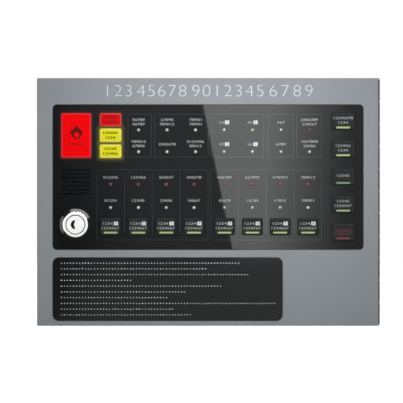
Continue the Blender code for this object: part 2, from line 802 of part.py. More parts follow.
def build_keys(pivot):
    """All keys with their light bars; each key's origin lies on its own line of travel."""
    solids = {size: key_mesh(size) for size in (ZONE_KEY_SIZE, FUNCTION_KEY_SIZE)}
    bar_width, bar_height = BAR_SIZE
    for name, x, z, size in key_places():
        red = name == FUNCTION_KEYS[-1]
        key = bpy.data.objects.new(name + "_key", solids[size])
        PARTS.objects.link(key)
        key.location = (x, FASCIA_FRONT, z)
        hang(key, pivot)
        shape = bmesh.new()
        add_block(
            shape,
            (-bar_width / 2, -KEY_PROUD - BAR_PROUD, -BAR_DROP - bar_height / 2),
            (bar_width / 2, BAR_DEPTH - KEY_PROUD, -BAR_DROP + bar_height / 2),
        )
        bar = make_part(name + "_light_bar", shape, LAMP_RED if red else BAR_GREEN, pivot)
        bar.location = key.location


def build_lock_body(pivot):
    """The lock's housing, and the nut behind the fascia that holds it in the door."""
    bezel_rear = FASCIA_FRONT - GAP
    profile = [
        (PLUG_BORE_RADIUS, LOCK_FRONT),
        (RING_RADIUS, LOCK_FRONT),
        (RING_RADIUS + RING_STEP[0], LOCK_FRONT + RING_STEP[1]),
        (BEZEL_RADIUS - BEZEL_EDGE, LOCK_FRONT + BEZEL_TOP),
        (BEZEL_RADIUS, LOCK_FRONT + BEZEL_TOP + BEZEL_EDGE),
        (BEZEL_RADIUS, bezel_rear),
        (LOCK_BARREL_RADIUS, bezel_rear),
        (LOCK_BARREL_RADIUS, LOCK_BARREL_END),
        (PLUG_BORE_RADIUS, LOCK_BARREL_END),
    ]
    housing = turned_part("lock_housing", profile, 32, DARK_CHROME, pivot, LOCK_X, LOCK_Z)
    shade_round(housing, 25)

    front = FASCIA_REAR + GAP
    rear = front + LOCK_NUT_HEIGHT
    shape = bmesh.new()
    add_rod(shape, (LOCK_X, front, LOCK_Z), (LOCK_X, rear, LOCK_Z), BEZEL_RADIUS, 6)
    nut = make_part("lock_nut", shape, BRIGHT_STEEL, pivot)
    thread = bmesh.new()
    add_rod(
        thread,
        (LOCK_X, front - SHEET, LOCK_Z), (LOCK_X, rear + SHEET, LOCK_Z),
        LOCK_BARREL_RADIUS + GAP, 24,
    )
    cut(nut, thread, "thread")


def build_lock_plug(pivot):
    """The plug that the key turns: a half-moon keyway in front and a square tail for the cam."""
    shape = bmesh.new()
    add_rod(shape, (LOCK_X, LOCK_FRONT, LOCK_Z), (LOCK_X, LOCK_BARREL_END, LOCK_Z), PLUG_RADIUS, 32)
    ease_front_edges(shape, PLUG_EDGE)
    plug = make_part("lock_plug", shape, BRIGHT_STEEL, pivot)
    tail = bmesh.new()
    half_square = CAM_SQUARE / 2
    add_block(
        tail,
        (LOCK_X - half_square, LOCK_BARREL_END - SHEET, LOCK_Z - half_square),
        (LOCK_X + half_square, CAM_FRONT + CAM_THICKNESS, LOCK_Z + half_square),
    )
    join(plug, tail, "tail")
    keyway = bmesh.new()
    add_rod(
        keyway,
        (LOCK_X, LOCK_FRONT - SHEET, LOCK_Z), (LOCK_X, LOCK_FRONT + KEYWAY_DEPTH, LOCK_Z),
        KEYWAY_RADIUS, 24,
    )
    bmesh.ops.bisect_plane(
        keyway,
        geom=keyway.verts[:] + keyway.edges[:] + keyway.faces[:],
        plane_co=(LOCK_X - KEYWAY_FLAT, 0, 0), plane_no=(1, 0, 0), clear_outer=True,
    )
    bmesh.ops.holes_fill(keyway, edges=[edge for edge in keyway.edges if edge.is_boundary])
    cut(plug, keyway, "keyway")
    shade_round(plug)


def build_lock_cam(pivot):
    """The cam that closes behind the striker, and the screw that holds it on the plug's tail."""
    rear = CAM_FRONT + CAM_THICKNESS
    shape = bmesh.new()
    add_block(
        shape,
        (LOCK_X - CAM_WIDTH / 2, CAM_FRONT, LOCK_Z - CAM_REACH),
        (LOCK_X + CAM_WIDTH / 2, rear, LOCK_Z + CAM_WIDTH / 2),
        "Y", CAM_CORNER, 3,
    )
    cam = make_part("lock_cam", shape, BRIGHT_STEEL, pivot)
    hole = bmesh.new()
    half_hole = CAM_SQUARE / 2 + GAP
    add_block(
        hole,
        (LOCK_X - half_hole, CAM_FRONT - SHEET, LOCK_Z - half_hole),
        (LOCK_X + half_hole, rear + SHEET, LOCK_Z + half_hole),
    )
    cut(cam, hole, "square_hole")

    head_rear = rear + CAM_SCREW_HEIGHT
    shape = bmesh.new()
    add_rod(shape, (LOCK_X, rear + GAP, LOCK_Z), (LOCK_X, head_rear, LOCK_Z), CAM_SCREW_RADIUS, 16)
    screw = make_part("lock_cam_screw", shape, BRIGHT_STEEL, pivot)
    recess = bmesh.new()
    half_slot = DRIVER_SLOT_WIDTH / 2
    reach = CAM_SCREW_RADIUS + SHEET
    add_block(
        recess,
        (LOCK_X - half_slot, head_rear - DRIVER_SLOT_DEPTH, LOCK_Z - reach),
        (LOCK_X + half_slot, head_rear + SHEET, LOCK_Z + reach),
    )
    cut(screw, recess, "driver_slot")
    shade_round(screw)


def build_striker():
    """Plate behind the left flange that the cam closes on."""
    front = BOX_FRONT + SHEET + GAP
    shape = bmesh.new()
    add_block(
        shape,
        (LEFT_FACE + SHEET + GAP, front, LOCK_Z - STRIKER_HEIGHT / 2),
        (STRIKER_INNER_X, front + STRIKER_THICKNESS, LOCK_Z + STRIKER_HEIGHT / 2),
        "Y", STRIKER_CORNER, 2,
    )
    return make_part("lock_striker", shape, BRIGHT_STEEL)


def add_component(shape, left, bottom, size, front, root):
    """Add a soldered part: a block that stands out of a board's front and is rooted in the board."""
    across, upward, outward = size
    add_block(shape, (left, front - outward, bottom), (left + across, root, bottom + upward))


def build_main_board():
    """Control circuit board with its relays, fuses, capacitors, processor and ribbon header."""
    (left, bottom), (right, top) = MAIN_BOARD
    rear = -SHEET - STANDOFF - GAP
    front = rear - BOARD_THICKNESS
    root = rear - BOARD_THICKNESS / 2
    shape = bmesh.new()
    add_block(shape, (left, front, bottom), (right, rear, top), "Y", BOARD_CORNER, 2)
    board = make_part("main_board", shape, BOARD_GREEN)
    raised = bmesh.new()
    for index in range(RELAYS):
        add_component(raised, left + RELAY_INSET + index * RELAY_PITCH, RELAY_Z, RELAY_SIZE, front, root)
    for index in range(FUSES):
        add_component(raised, right - FUSE_INSET + index * FUSE_PITCH, FUSE_Z, FUSE_SIZE, front, root)
    x = right - CAPACITOR_INSET
    for index in range(CAPACITORS):
        z = CAPACITOR_Z + index * CAPACITOR_PITCH
        add_rod(raised, (x, root, z), (x, front - CAPACITOR_HEIGHT, z), CAPACITOR_RADIUS, 12)
    for (left, bottom), (right, top), height in (
        (*PROCESSOR, PROCESSOR_HEIGHT), (*MAIN_HEADER, MAIN_HEADER_HEIGHT)
    ):
        add_block(raised, (left, front - height, bottom), (right, root, top))
    join(board, raised, "components")
    return board


def build_terminals(name, left, bottom, ways, rear, surface):
    """A row of screw terminals: a screw well in front and a wire entry on top of each way."""
    front = rear - TERMINAL_HEIGHT
    top = bottom + TERMINAL_DEPTH
    right = left + ways * TERMINAL_PITCH
    shape = bmesh.new()
    add_block(shape, (left, front, bottom), (right, rear, top))
    row = make_part(name, shape, surface)
    step = bmesh.new()
    add_block(
        step,
        (left - SHEET, front - SHEET, top - TERMINAL_STEP_HEIGHT),
        (right + SHEET, front + TERMINAL_STEP_DEPTH, top + SHEET),
    )
    cut(row, step, "step")
    wells = bmesh.new()
    z = bottom + TERMINAL_DEPTH * SCREW_WELL_RISE
    for way in range(ways):
        x = left + (way + 0.5) * TERMINAL_PITCH
        add_rod(wells, (x, front - SHEET, z), (x, front + SCREW_WELL_DEPTH, z), SCREW_WELL_RADIUS, 6)
        add_block(
            wells,
            (x - WIRE_ENTRY_HALF_WIDTH, front + WIRE_ENTRY_FRONT, top - WIRE_ENTRY_SINK),
            (x + WIRE_ENTRY_HALF_WIDTH, front + WIRE_ENTRY_REAR, top + SHEET),
        )
    cut(row, wells, "wells")
    return row


def build_power_supply():
    """Caged mains supply with a terminal shelf and vent slots."""
    (left, bottom), (right, top) = SUPPLY
    front = INNER_BACK - SUPPLY_DEPTH
    shape = bmesh.new()
    add_block(shape, (left, front, bottom), (right, INNER_BACK, top), "X", SUPPLY_EDGE, 1)
    supply = make_part("power_supply", shape, ZINC_STEEL)
    shelf = bmesh.new()
    shelf_front = INNER_BACK - SUPPLY_DEPTH * 0.5
    shelf_bottom = top - SUPPLY_SHELF
    add_block(shelf, (left + SHEET, front - SHEET, shelf_bottom), (right - SHEET, shelf_front, top + SHEET))
    cut(supply, shelf, "terminal_shelf")
    vents = bmesh.new()
    for column in range(VENT_COLUMNS):
        x = left + VENT_INSET + column * VENT_PITCH
        for low, high in VENT_ROWS:
            add_block(
                vents,
                (x - VENT_WIDTH / 2, front - SHEET, bottom + low),
                (x + VENT_WIDTH / 2, front + SHEET, bottom + high),
            )
    cut(supply, vents, "vents")
    strip_left = (left + right - SUPPLY_TERMINAL_WAYS * TERMINAL_PITCH) / 2
    build_terminals(
        "power_supply_terminals", strip_left, shelf_bottom + SUPPLY_TERMINALS_RISE, SUPPLY_TERMINAL_WAYS,
        shelf_front - GAP, MATTE_BLACK,
    )
    return supply


def build_earth_stud():
    """Welded stud with its washer and nut for the protective earth."""
    root = (EARTH_X, INNER_BACK, EARTH_Z)
    shape = bmesh.new()
    add_rod(shape, root, (EARTH_X, INNER_BACK - EARTH_STUD_LENGTH, EARTH_Z), EARTH_STUD_RADIUS, 12)
    stud = make_part("earth_stud", shape, BRASS)
    washer = bmesh.new()
    washer_rear = INNER_BACK - 2 * GAP
    washer_front = INNER_BACK - EARTH_WASHER_TOP
    washer_ends = (EARTH_X, washer_rear, EARTH_Z), (EARTH_X, washer_front, EARTH_Z)
    add_rod(washer, *washer_ends, EARTH_WASHER_RADIUS, 12)
    join(stud, washer, "washer")
    nut = bmesh.new()
    nut_rear = washer_front + GAP
    nut_front = INNER_BACK - EARTH_NUT_TOP
    add_rod(nut, (EARTH_X, nut_rear, EARTH_Z), (EARTH_X, nut_front, EARTH_Z), EARTH_NUT_RADIUS, 6)
    join(stud, nut, "nut")
    return stud


def build_battery(name, left):
    """Sealed lead-acid battery: lid line, vent strip and two tab terminals."""
    width, depth, height = BATTERY_SIZE
    front = INNER_BACK - depth
    bottom = SHEET + GAP - TOP_FACE
    top = bottom + height
    right = left + width
    shape = bmesh.new()
    add_block(shape, (left, front, bottom), (right, INNER_BACK, top), "Z", BATTERY_CORNER, 2)
    battery = make_part(name, shape, BATTERY_GREY)
    lid_line = bmesh.new()
    line_bottom = top - LID_LINE_DROP
    add_block(
        lid_line,
        (left - SHEET, front - SHEET, line_bottom),
        (right + SHEET, INNER_BACK + SHEET, line_bottom + LID_LINE_HEIGHT),
    )
    cut(battery, lid_line, "lid_line")
    core = bmesh.new()
    add_block(
        core,
        (left + LID_LINE_DEPTH, front + LID_LINE_DEPTH, bottom + SHEET),
        (right - LID_LINE_DEPTH, INNER_BACK - LID_LINE_DEPTH, top - SHEET),
    )
    join(battery, core, "core")
    fittings = bmesh.new()
    root = top - FITTING_ROOT
    strip_near, strip_far = (INNER_BACK - depth * share for share in VENT_STRIP_SPAN)
    add_block(
        fittings,
        (left + VENT_STRIP_INSET, strip_far, root),
        (right - VENT_STRIP_INSET, strip_near, top + VENT_STRIP_RISE),
    )
    tab_y = INNER_BACK - depth * TAB_SHARE
    for x in (left + TAB_INSET, right - TAB_INSET):
        add_block(
            fittings,
            (x - TAB_WIDTH / 2, tab_y - TAB_THICKNESS / 2, root),
            (x + TAB_WIDTH / 2, tab_y + TAB_THICKNESS / 2, top + TAB_RISE),
        )
    join(battery, fittings, "fittings")
    return battery


def build_battery_bracket():
    """Steel strap across both batteries, with legs and feet back to the box."""
    strap_rear = INNER_BACK - BATTERY_SIZE[1] - GAP
    strap_front = strap_rear - BRACKET_THICKNESS
    leg_inner = BATTERY_INNER_X + BATTERY_SIZE[0] + GAP
    leg_outer = leg_inner + BRACKET_THICKNESS
    low = BRACKET_Z - BRACKET_HEIGHT / 2
    high = BRACKET_Z + BRACKET_HEIGHT / 2
    shape = bmesh.new()
    add_block(shape, (-leg_outer, strap_front, low), (leg_outer, INNER_BACK, high))
    bracket = make_part("battery_bracket", shape, ZINC_STEEL)
    inside = bmesh.new()
    add_block(inside, (-leg_inner, strap_rear, low - SHEET), (leg_inner, INNER_BACK + SHEET, high + SHEET))
    cut(bracket, inside, "inside")
    feet = bmesh.new()
    for side in (-1, 1):
        near, far = sorted((side * (leg_inner + BRACKET_THICKNESS / 2), side * (leg_inner + BRACKET_FOOT)))
        add_block(
            feet, (near, INNER_BACK - BRACKET_THICKNESS, low + GAP), (far, INNER_BACK - GAP / 2, high - GAP)
        )
    join(bracket, feet, "feet")
    return bracket


for old in list(bpy.data.objects):
    bpy.data.objects.remove(old)

PARTS = bpy.data.collections.new(OBJECT_NAME)
CUTTERS = bpy.data.collections.new("cutters")
bpy.context.scene.collection.children.link(PARTS)
bpy.context.scene.collection.children.link(CUTTERS)

STEEL_GREY = material("powder_coated_steel_grey", "8F959C", 0.55)
HINGE_STEEL = material("hinge_steel", "55585C", 0.40, 1.0)
BRIGHT_STEEL = material("bright_steel", "C9CCCF", 0.25, 1.0)
ZINC_STEEL = material("zinc_plated_steel", "B9BDC0", 0.40, 1.0)
DARK_CHROME = material("dark_chrome", "6C7074", 0.15, 1.0)
BRASS = material("brass", "C8A24A", 0.35, 1.0)
GLOSS_BLACK = material("gloss_black_plastic", "191C1E", 0.10)
LABEL_BLACK = material("label_black", "2A2C2E", 0.45)
KEY_BLACK = material("key_black_plastic", "303234", 0.60)
MATTE_BLACK = material("matte_black_plastic", "1C1D1F", 0.60)
LAMP_RED = material("lamp_red", "F01018", 0.25)
LAMP_YELLOW = material("lamp_yellow", "F0E83C", 0.25)
BAR_GREEN = material("bar_yellow_green", "C6D85A", 0.30)
BOARD_GREEN = material("circuit_board_green", "1F5A36", 0.45)
TERMINAL_GREEN = material("terminal_green", "2E7D4F", 0.45)
BATTERY_GREY = material("battery_grey", "3A3D42", 0.55)

door_axis = make_pivot("door_hinge_axis", (HINGE_X, HINGE_Y, 0))
lock_axis = make_pivot("lock_axis", (LOCK_X, LOCK_FRONT, LOCK_Z), door_axis)

build_back_box()
build_hinge_leaf("hinge_leaf_box", 0, HINGE_Y + BOX_LEAF_WIDTH)
build_hinge_pin()
build_striker()
build_main_board()
board_face = -SHEET - STANDOFF - BOARD_THICKNESS - 2 * GAP
for row_name, row_left, row_ways in (
    ("zone_terminals", ZONE_TERMINALS_LEFT, ZONE_TERMINAL_WAYS),
    ("output_terminals", OUTPUT_TERMINALS_LEFT, OUTPUT_TERMINAL_WAYS),
):
    build_terminals(row_name, row_left, TERMINAL_ROW_Z, row_ways, board_face, TERMINAL_GREEN)
build_power_supply()
build_terminals(
    "mains_terminal_block", MAINS_TERMINALS_LEFT, MAINS_TERMINALS_Z, MAINS_TERMINAL_WAYS,
    INNER_BACK, MATTE_BLACK,
)
build_earth_stud()
build_battery("battery_left", -BATTERY_INNER_X - BATTERY_SIZE[0])
build_battery("battery_right", BATTERY_INNER_X)
build_battery_bracket()

build_door(door_axis)
build_hinge_leaf("hinge_leaf_door", 1, HINGE_Y - DOOR_LEAF_WIDTH, door_axis)
build_fascia(door_axis)
build_label_plate(door_axis)
for lamp in LAMPS:
    build_lamp(lamp, door_axis)
build_display_board(door_axis)
build_buzzer(door_axis)
build_keys(door_axis)
build_lock_body(door_axis)
build_lock_plug(lock_axis)
build_lock_cam(lock_axis)
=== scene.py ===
"""Looks of a wall-mounted fire alarm control panel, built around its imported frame.

Metres, +Z up, and the front faces -Y. A size that is named in millimetres is turned to metres by MM.
"""

import json

import bmesh
import bpy
import numpy as np
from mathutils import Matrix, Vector


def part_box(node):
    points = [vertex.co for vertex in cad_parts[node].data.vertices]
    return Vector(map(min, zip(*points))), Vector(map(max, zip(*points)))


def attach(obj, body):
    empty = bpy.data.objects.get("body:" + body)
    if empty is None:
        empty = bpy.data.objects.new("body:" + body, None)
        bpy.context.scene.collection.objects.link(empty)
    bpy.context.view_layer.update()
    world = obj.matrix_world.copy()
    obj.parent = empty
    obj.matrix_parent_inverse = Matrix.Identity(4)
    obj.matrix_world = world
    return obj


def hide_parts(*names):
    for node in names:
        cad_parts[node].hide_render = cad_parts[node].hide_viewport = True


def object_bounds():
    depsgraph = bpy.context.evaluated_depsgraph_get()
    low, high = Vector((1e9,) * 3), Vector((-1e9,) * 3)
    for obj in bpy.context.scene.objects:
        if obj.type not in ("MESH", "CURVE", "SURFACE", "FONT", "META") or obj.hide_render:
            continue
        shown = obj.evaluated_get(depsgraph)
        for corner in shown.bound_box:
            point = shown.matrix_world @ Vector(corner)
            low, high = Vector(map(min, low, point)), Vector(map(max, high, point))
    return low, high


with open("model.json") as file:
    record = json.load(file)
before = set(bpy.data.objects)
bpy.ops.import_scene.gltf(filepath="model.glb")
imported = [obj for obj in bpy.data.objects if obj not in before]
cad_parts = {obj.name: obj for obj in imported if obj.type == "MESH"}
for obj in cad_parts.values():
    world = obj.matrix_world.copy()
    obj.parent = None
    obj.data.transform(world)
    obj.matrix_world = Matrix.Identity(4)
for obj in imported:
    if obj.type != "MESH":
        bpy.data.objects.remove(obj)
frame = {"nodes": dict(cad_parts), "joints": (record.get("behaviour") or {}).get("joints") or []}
CAD_LOW, CAD_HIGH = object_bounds()
NODES = frame["nodes"]
JOINTS = {joint["name"]: joint for joint in frame["joints"]}
MM = 0.001

# Faces that carry prints and small pieces, from the frame
FASCIA_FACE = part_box("fascia")[0].y
DOOR_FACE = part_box("door_panel")[0].y
LABEL_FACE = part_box("label_plate")[0].y
FLOOR_Z = CAD_LOW.z

# Camera: square to the front, the picture spans this width at the fascia
PICTURE_WIDTH = 0.423
LENS_MM = 1200.0
SENSOR_MM = 36.0
AIM_X = -0.00735
AIM_Z = 0.0005
CAMERA_DISTANCE = PICTURE_WIDTH * LENS_MM / SENSOR_MM

# Light points in the fascia
STATUS_FIRST_X = -0.0734
STATUS_PITCH = 0.0299
STATUS_COLUMNS = 7
STATUS_ROWS_Z = (0.0757, 0.0528)
ZONES = 8
ZONE_GROUP_X = (-0.0590, 0.0606)
ZONE_PITCH = 0.0292
ZONE_ROWS_Z = (0.0185, -0.0058)

# Keys, as the bodies are named
ZONE_KEYS = [f"zone_{zone + 1}" for zone in range(ZONES)]
FUNCTION_KEYS = ["silence_sounders", "mute_buzzer", "reset", "access", "evacuate"]

# Print: ink thickness, and how far it sinks into what carries it
INK = 0.00005
INK_SEAT = 0.00002

# Height of a figure as a share of its font's size
FIGURE_SHARE = 0.72

# Plain figures in place of words: how tall they are, and how far a line lies above its light or key
FIGURE_HEIGHT = 0.0027
FIGURE_PITCH = 0.00255
CAPTION_LINES_Z = (0.0106, 0.0060)
CAPTION_SINGLE_Z = 0.0078
ZONE_CAPTION_Z = 0.0073
BADGE_SIZE = (0.0045, 0.0039)
BADGE_GAP = 0.0012
BADGE_FIGURE_HEIGHT = 0.0029
KEY_LINES_Z = (0.0037, -0.0011)
KEY_SINGLE_Z = 0.0014
ZONE_KEY_LINES_Z = (0.0033, -0.0016)

# Figures in each line of a caption, for the upper and the lower light of each status column
STATUS_CAPTIONS = (
    ((5, 5), (6, 5)), ((5, 6), (7,)), ((5, 5), (7, 5)), ((2,), (2,)), ((2,), (2,)),
    ((3,), (4,)), ((7, 6), (7, 5)),
)
STATUS_BADGES = {(3, 0): "1", (4, 0): "2", (3, 1): "3", (4, 1): "4"}
ZONE_CAPTIONS = (6, 5)
ZONE_KEY_CAPTION = (4, 7)
FUNCTION_CAPTIONS = ((8, 4), (6, 4), (5,), (5, 7), (7, 7))
RED_KEY_LINES_Z = (0.0018, -0.0016)

# Printed outlines on the fascia: left, right, bottom, top
OUTLINE_LINE = 0.0007
OUTLINE_CORNER = 0.0010
STATUS_OUTLINE_Z = (0.0468, 0.0925)
STATUS_OUTLINE_X = (
    (-0.0849, -0.0598), (-0.0570, 0.0), (0.0026, 0.0584), (0.0623, 0.0893), (0.0922, 0.1190),
)
ZONE_OUTLINE_Z = (-0.0403, 0.0341)
ZONE_OUTLINE_X = ((-0.1178, -0.0001), (0.0022, 0.1190))
DIVIDER_Z = (-0.0315, 0.0304)

# Heading on the door: left and right of each group, and how many figures it has
HEADING_Z = (0.1108, 0.1228)
HEADING_THINNING = 0.0004
HEADING_STRETCH = 1.22
HEADING_INSET = 0.0040
HEADING_GROUPS = (
    (-0.1100, -0.0798, 3), (-0.0750, -0.0231, 5), (-0.0173, 0.0582, 7), (0.0640, 0.1095, 4),
)

# Rows of crosses on the instruction plate: where each row ends
CROSS_SIZE = 0.0009
CROSS_PITCH = 0.00315
CROSS_LINE = 0.00042
CROSS_FIRST_X = -0.1543
CROSS_FIRST_Z = -0.0642
CROSS_ROW_PITCH = 0.00603
CROSS_ENDS_X = (0.0335, -0.0030, 0.0436, -0.0803, 0.0141, -0.0247, -0.0438, 0.0703, -0.0347, -0.0171)

# Lamps: the lip round each face, how far the painted glow on the fascia reaches round it, its rim, its
# figures and the flame sign
LAMP_LIP = 0.0010
RED_GLOW_REACH = 0.0042
YELLOW_GLOW_REACH = 0.0056
GLOW_FALL = 2.2
RED_LAMPS = ("fire_lamp_lens", "alarm_lamp_lens")
YELLOW_LAMPS = ("fault_lamp_lens", "disabled_lamp_lens")
LAMP_RIM = 0.0013
LAMP_CAPTIONS = {"alarm_lamp_lens": (5, 5), "fault_lamp_lens": (6, 4), "disabled_lamp_lens": (5, 6)}
LAMP_LINES_Z = (0.0026, -0.0024)
LAMP_BOLDNESS = 0.00010
FLAME_CENTRE = (-0.1385, 0.0736)
FLAME_WIDTH = 0.00754
FLAME_HEIGHT = 0.00739
FLAME_POINT = 1.1
FLAME_RIPPLE = 0.22
FLAME_HOLLOW = 0.46
FLAME_HOLLOW_DROP = 0.36
FLAME_CAPTION_Z = 0.0609
FLAME_CAPTION = 7

# Lock plug: radius of its bright face, past which painted shade marks the gap round it; the depth past
# which its keyway is painted in shade; and the ward in the keyway
PLUG_FACE_RADIUS = 0.0095
KEYWAY_SHADE = 0.0004
WARD_RADIUS = 0.0030
WARD_OFFSET = 0.0014
WARD_SET_BACK = 0.00005
WARD_DEPTH = 0.0050

# Fasteners: radius and height of each kind of head, a nut's radii and depths, and their places
DISPLAY_SCREW = (0.0026, -0.0017)
MAIN_SCREW = (0.0029, 0.0018)
BRACKET_SCREW = (0.0036, 0.0022)
RIVET = (0.0024, 0.0011)
TERMINAL_SCREW = (0.00155, 0.0014)
NUT_PROFILE = ((0.0016, 0.0), (0.0031, 0.0), (0.0031, 0.0022), (0.0027, 0.0024), (0.0016, 0.0024))
NUT_Y = -0.0923
NUT_X = (-0.120, 0.0, 0.120)
NUT_Z = (-0.0542, 0.1064)
DISPLAY_SCREW_Y = -0.0834
DISPLAY_SCREW_X = (-0.0820, 0.0010, 0.1210)
DISPLAY_SCREW_Z = (-0.0440, 0.0380, 0.0955)
MAIN_BOARD_FACE = 0.0016
MAIN_SCREW_INSET = 0.006
BRACKET_SCREW_X = 0.1635
BRACKET_SHEET = 0.0014
BOX_RIVET_INSET = 0.007
DOOR_RIVET_INSET = 0.0035
RIVETS_Z = np.linspace(-0.1165, 0.1165, 6)
TERMINAL_WAYS = {
    "zone_terminals": 16, "output_terminals": 12, "power_supply_terminals": 5, "mains_terminal_block": 3,
}
TERMINAL_WELL = 0.0031
TERMINAL_RISE = 0.38

# Stage: the light that falls from all round, the floor, and the card that the fascia mirrors
WORLD_LIGHT = 0.40
FLOOR_LIGHT = 0.93
FLOOR_REACH = 14.0
CARD_Y = -13.0
CARD_LIGHT = (2.50, 3.25)

# Sheet metal and the board, which the two gloss lamps would bleach as seen from the side or behind
UNSHONE = ("back_box", "door_panel", "power_supply", "battery_bracket", "lock_striker", "main_board")


def linear(code):
    """Linear colour of an sRGB hex code: v/12.92 near black, else ((v + 0.055)/1.055) to the power 2.4."""
    value = np.array([int(code[i:i + 2], 16) for i in (0, 2, 4)]) / 255
    value = np.where(value <= 0.04045, value / 12.92, ((value + 0.055) / 1.055) ** 2.4)
    return (*value.tolist(), 1.0)


def add(tree, kind, fill=None, **settings):
    """Add a node: settings are its properties, and fill gives sockets a value or another node's output."""
    made = tree.nodes.new(kind)
    for name, value in settings.items():
        setattr(made, name, value)
    for socket, source in (fill or {}).items():
        if isinstance(source, bpy.types.NodeSocket):
            tree.links.new(source, made.inputs[socket])
        else:
            made.inputs[socket].default_value = source
    return made


# Sockets of a colour Mix node
FACTOR, FIRST, SECOND, MIXED = 0, 6, 7, 2


def new_material(name, **constants):
    """A material with its node tree, its shader and the object's own coordinates."""
    surface = bpy.data.materials.new(name)
    surface.use_nodes = True
    tree = surface.node_tree
    shader = tree.nodes["Principled BSDF"]
    for socket, value in constants.items():
        shader.inputs[socket.replace("_", " ")].default_value = value
    place = add(tree, "ShaderNodeTexCoord").outputs["Object"]
    return surface, tree, shader, place


def connect(tree, shader, **sources):
    """Wire outputs to the shader's sockets."""
    for socket, source in sources.items():
        tree.links.new(source, shader.inputs[socket.replace("_", " ")])


def noise(tree, place, size, detail):
    """Soft noise whose spots are about as many millimetres across as size says."""
    fill = {"Vector": place, "Scale": 1 / (size * MM), "Detail": detail}
    return add(tree, "ShaderNodeTexNoise", fill).outputs["Fac"]


def mix(tree, share, first, second, blend="MIX"):
    """A colour between two, each given as a hex code, a colour or another node's output."""
    first, second = (linear(end) if isinstance(end, str) else end for end in (first, second))
    fill = {FACTOR: share, FIRST: first, SECOND: second}
    return add(tree, "ShaderNodeMix", fill, data_type="RGBA", blend_type=blend).outputs[MIXED]


def between(tree, value, low, high, start=0.0, end=1.0):
    """Turn a value that runs from start to end into one that runs from low to high, and no further."""
    fill = {"Value": value, "From Min": start, "From Max": end, "To Min": low, "To Max": high}
    return add(tree, "ShaderNodeMapRange", fill).outputs["Result"]


def maths(tree, operation, *values, **settings):
    """One step of arithmetic on numbers."""
    fill = dict(enumerate(values))
    return add(tree, "ShaderNodeMath", fill, operation=operation, **settings).outputs["Value"]


def vector_maths(tree, operation, *values, result="Vector"):
    """One step of arithmetic on vectors."""
    return add(tree, "ShaderNodeVectorMath", dict(enumerate(values)), operation=operation).outputs[result]


def axes_of(tree, vector):
    """The three numbers of a vector."""
    return add(tree, "ShaderNodeSeparateXYZ", {0: vector}).outputs


def bumped(tree, height, rise, strength=1.0):
    """Normal of a surface that a pattern lifts by as many millimetres as rise says."""
    fill = {"Height": height, "Distance": rise * MM, "Strength": strength}
    return add(tree, "ShaderNodeBump", fill).outputs["Normal"]


def box_offset(tree, place, low, high):
    """How far a point lies outside a box along each axis: |p - centre| - half, below 0 inside."""
    centre = [(a + b) / 2 for a, b in zip(low, high)]
    half = [(b - a) / 2 for a, b in zip(low, high)]
    folded = vector_maths(tree, "ABSOLUTE", vector_maths(tree, "SUBTRACT", place, centre))
    return vector_maths(tree, "SUBTRACT", folded, half)


def inside_box(tree, place, low, high):
    """1 inside a box and 0 outside: the largest of the three offsets is below 0."""
    axes = axes_of(tree, box_offset(tree, place, low, high))
    across = maths(tree, "MAXIMUM", axes["X"], axes["Z"])
    return maths(tree, "LESS_THAN", maths(tree, "MAXIMUM", across, axes["Y"]), 0.0)


def paint_boxes(tree, place, colour, boxes):
    """Lay flat colours over a colour inside boxes, one after the other."""
    for low, high, code in boxes:
        colour = mix(tree, inside_box(tree, place, low, high), colour, code)
    return colour


def grained(name, tones, grain, patch, gloss, relief, boxes=(), **constants):
    """A moulded, sprayed or printed skin: two tones in soft patches under a fine grain.

    The grain lifts the surface and breaks up its gloss. grain and patch are millimetres across, gloss is the
    range of roughness, relief is the grain's height in millimetres, and boxes have flat colours of their own.
    """
    surface, tree, shader, place = new_material(name, **constants)
    colour = mix(tree, noise(tree, place, patch, 2.0), *tones)
    grains = noise(tree, place, grain, 3.0)
    connect(
        tree, shader, Base_Color=paint_boxes(tree, place, colour, boxes),
        Roughness=between(tree, grains, *gloss), Normal=bumped(tree, grains, relief),
    )
    return surface


def worked_metal(name, tones, line, gloss, relief):
    """A rolled, plated or drawn metal: two tones in streaks, sized in millimetres along X, Y and Z."""
    surface, tree, shader, place = new_material(name, Metallic=1.0)
    sizes = [1 / (size * MM) for size in line]
    drawn = add(tree, "ShaderNodeMapping", {"Vector": place, "Scale": sizes}).outputs["Vector"]
    streaks = add(tree, "ShaderNodeTexNoise", {"Vector": drawn, "Scale": 1.0, "Detail": 4.0}).outputs["Fac"]
    connect(
        tree, shader, Base_Color=mix(tree, streaks, *tones), Roughness=between(tree, streaks, *gloss),
        Normal=bumped(tree, streaks, relief),
    )
    return surface


def lamp_rectangle(name):
    """Left, right, bottom and top of a lamp's face, which its lip surrounds."""
    low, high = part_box(name)
    return low.x + LAMP_LIP, high.x - LAMP_LIP, low.z + LAMP_LIP, high.z - LAMP_LIP


def gloss_fascia():
    """Polished black acrylic: deep black with a mirror gloss. A glow round each lit lamp is painted into its
    emission.
    """
    surface, tree, shader, place = new_material("polished_black_acrylic", IOR=1.49, Emission_Strength=1.0)
    haze = noise(tree, place, 18, 3.0)
    glow = (0.0, 0.0, 0.0, 1.0)
    glows = ((RED_LAMPS, "520006", RED_GLOW_REACH), (YELLOW_LAMPS, "6A6604", YELLOW_GLOW_REACH))
    # Painted glow: emission on the fascia that fades away from each lit lamp's edge
    for names, code, reach in glows:
        for name in names:
            left, right, bottom, top = lamp_rectangle(name)
            offset = box_offset(tree, place, (left, FASCIA_FACE - 1, bottom), (right, FASCIA_FACE + 1, top))
            outside = vector_maths(tree, "MAXIMUM", offset, (0, 0, 0))
            far = vector_maths(tree, "LENGTH", outside, result="Value")
            near = between(tree, far, 1.0, 0.0, 0.0, reach)
            glow = mix(tree, maths(tree, "POWER", near, GLOW_FALL), glow, code, "ADD")
    connect(
        tree, shader, Base_Color=mix(tree, haze, "111415", "161A1B"),
        Roughness=between(tree, haze, 0.003, 0.006), Emission_Color=glow,
    )
    return surface


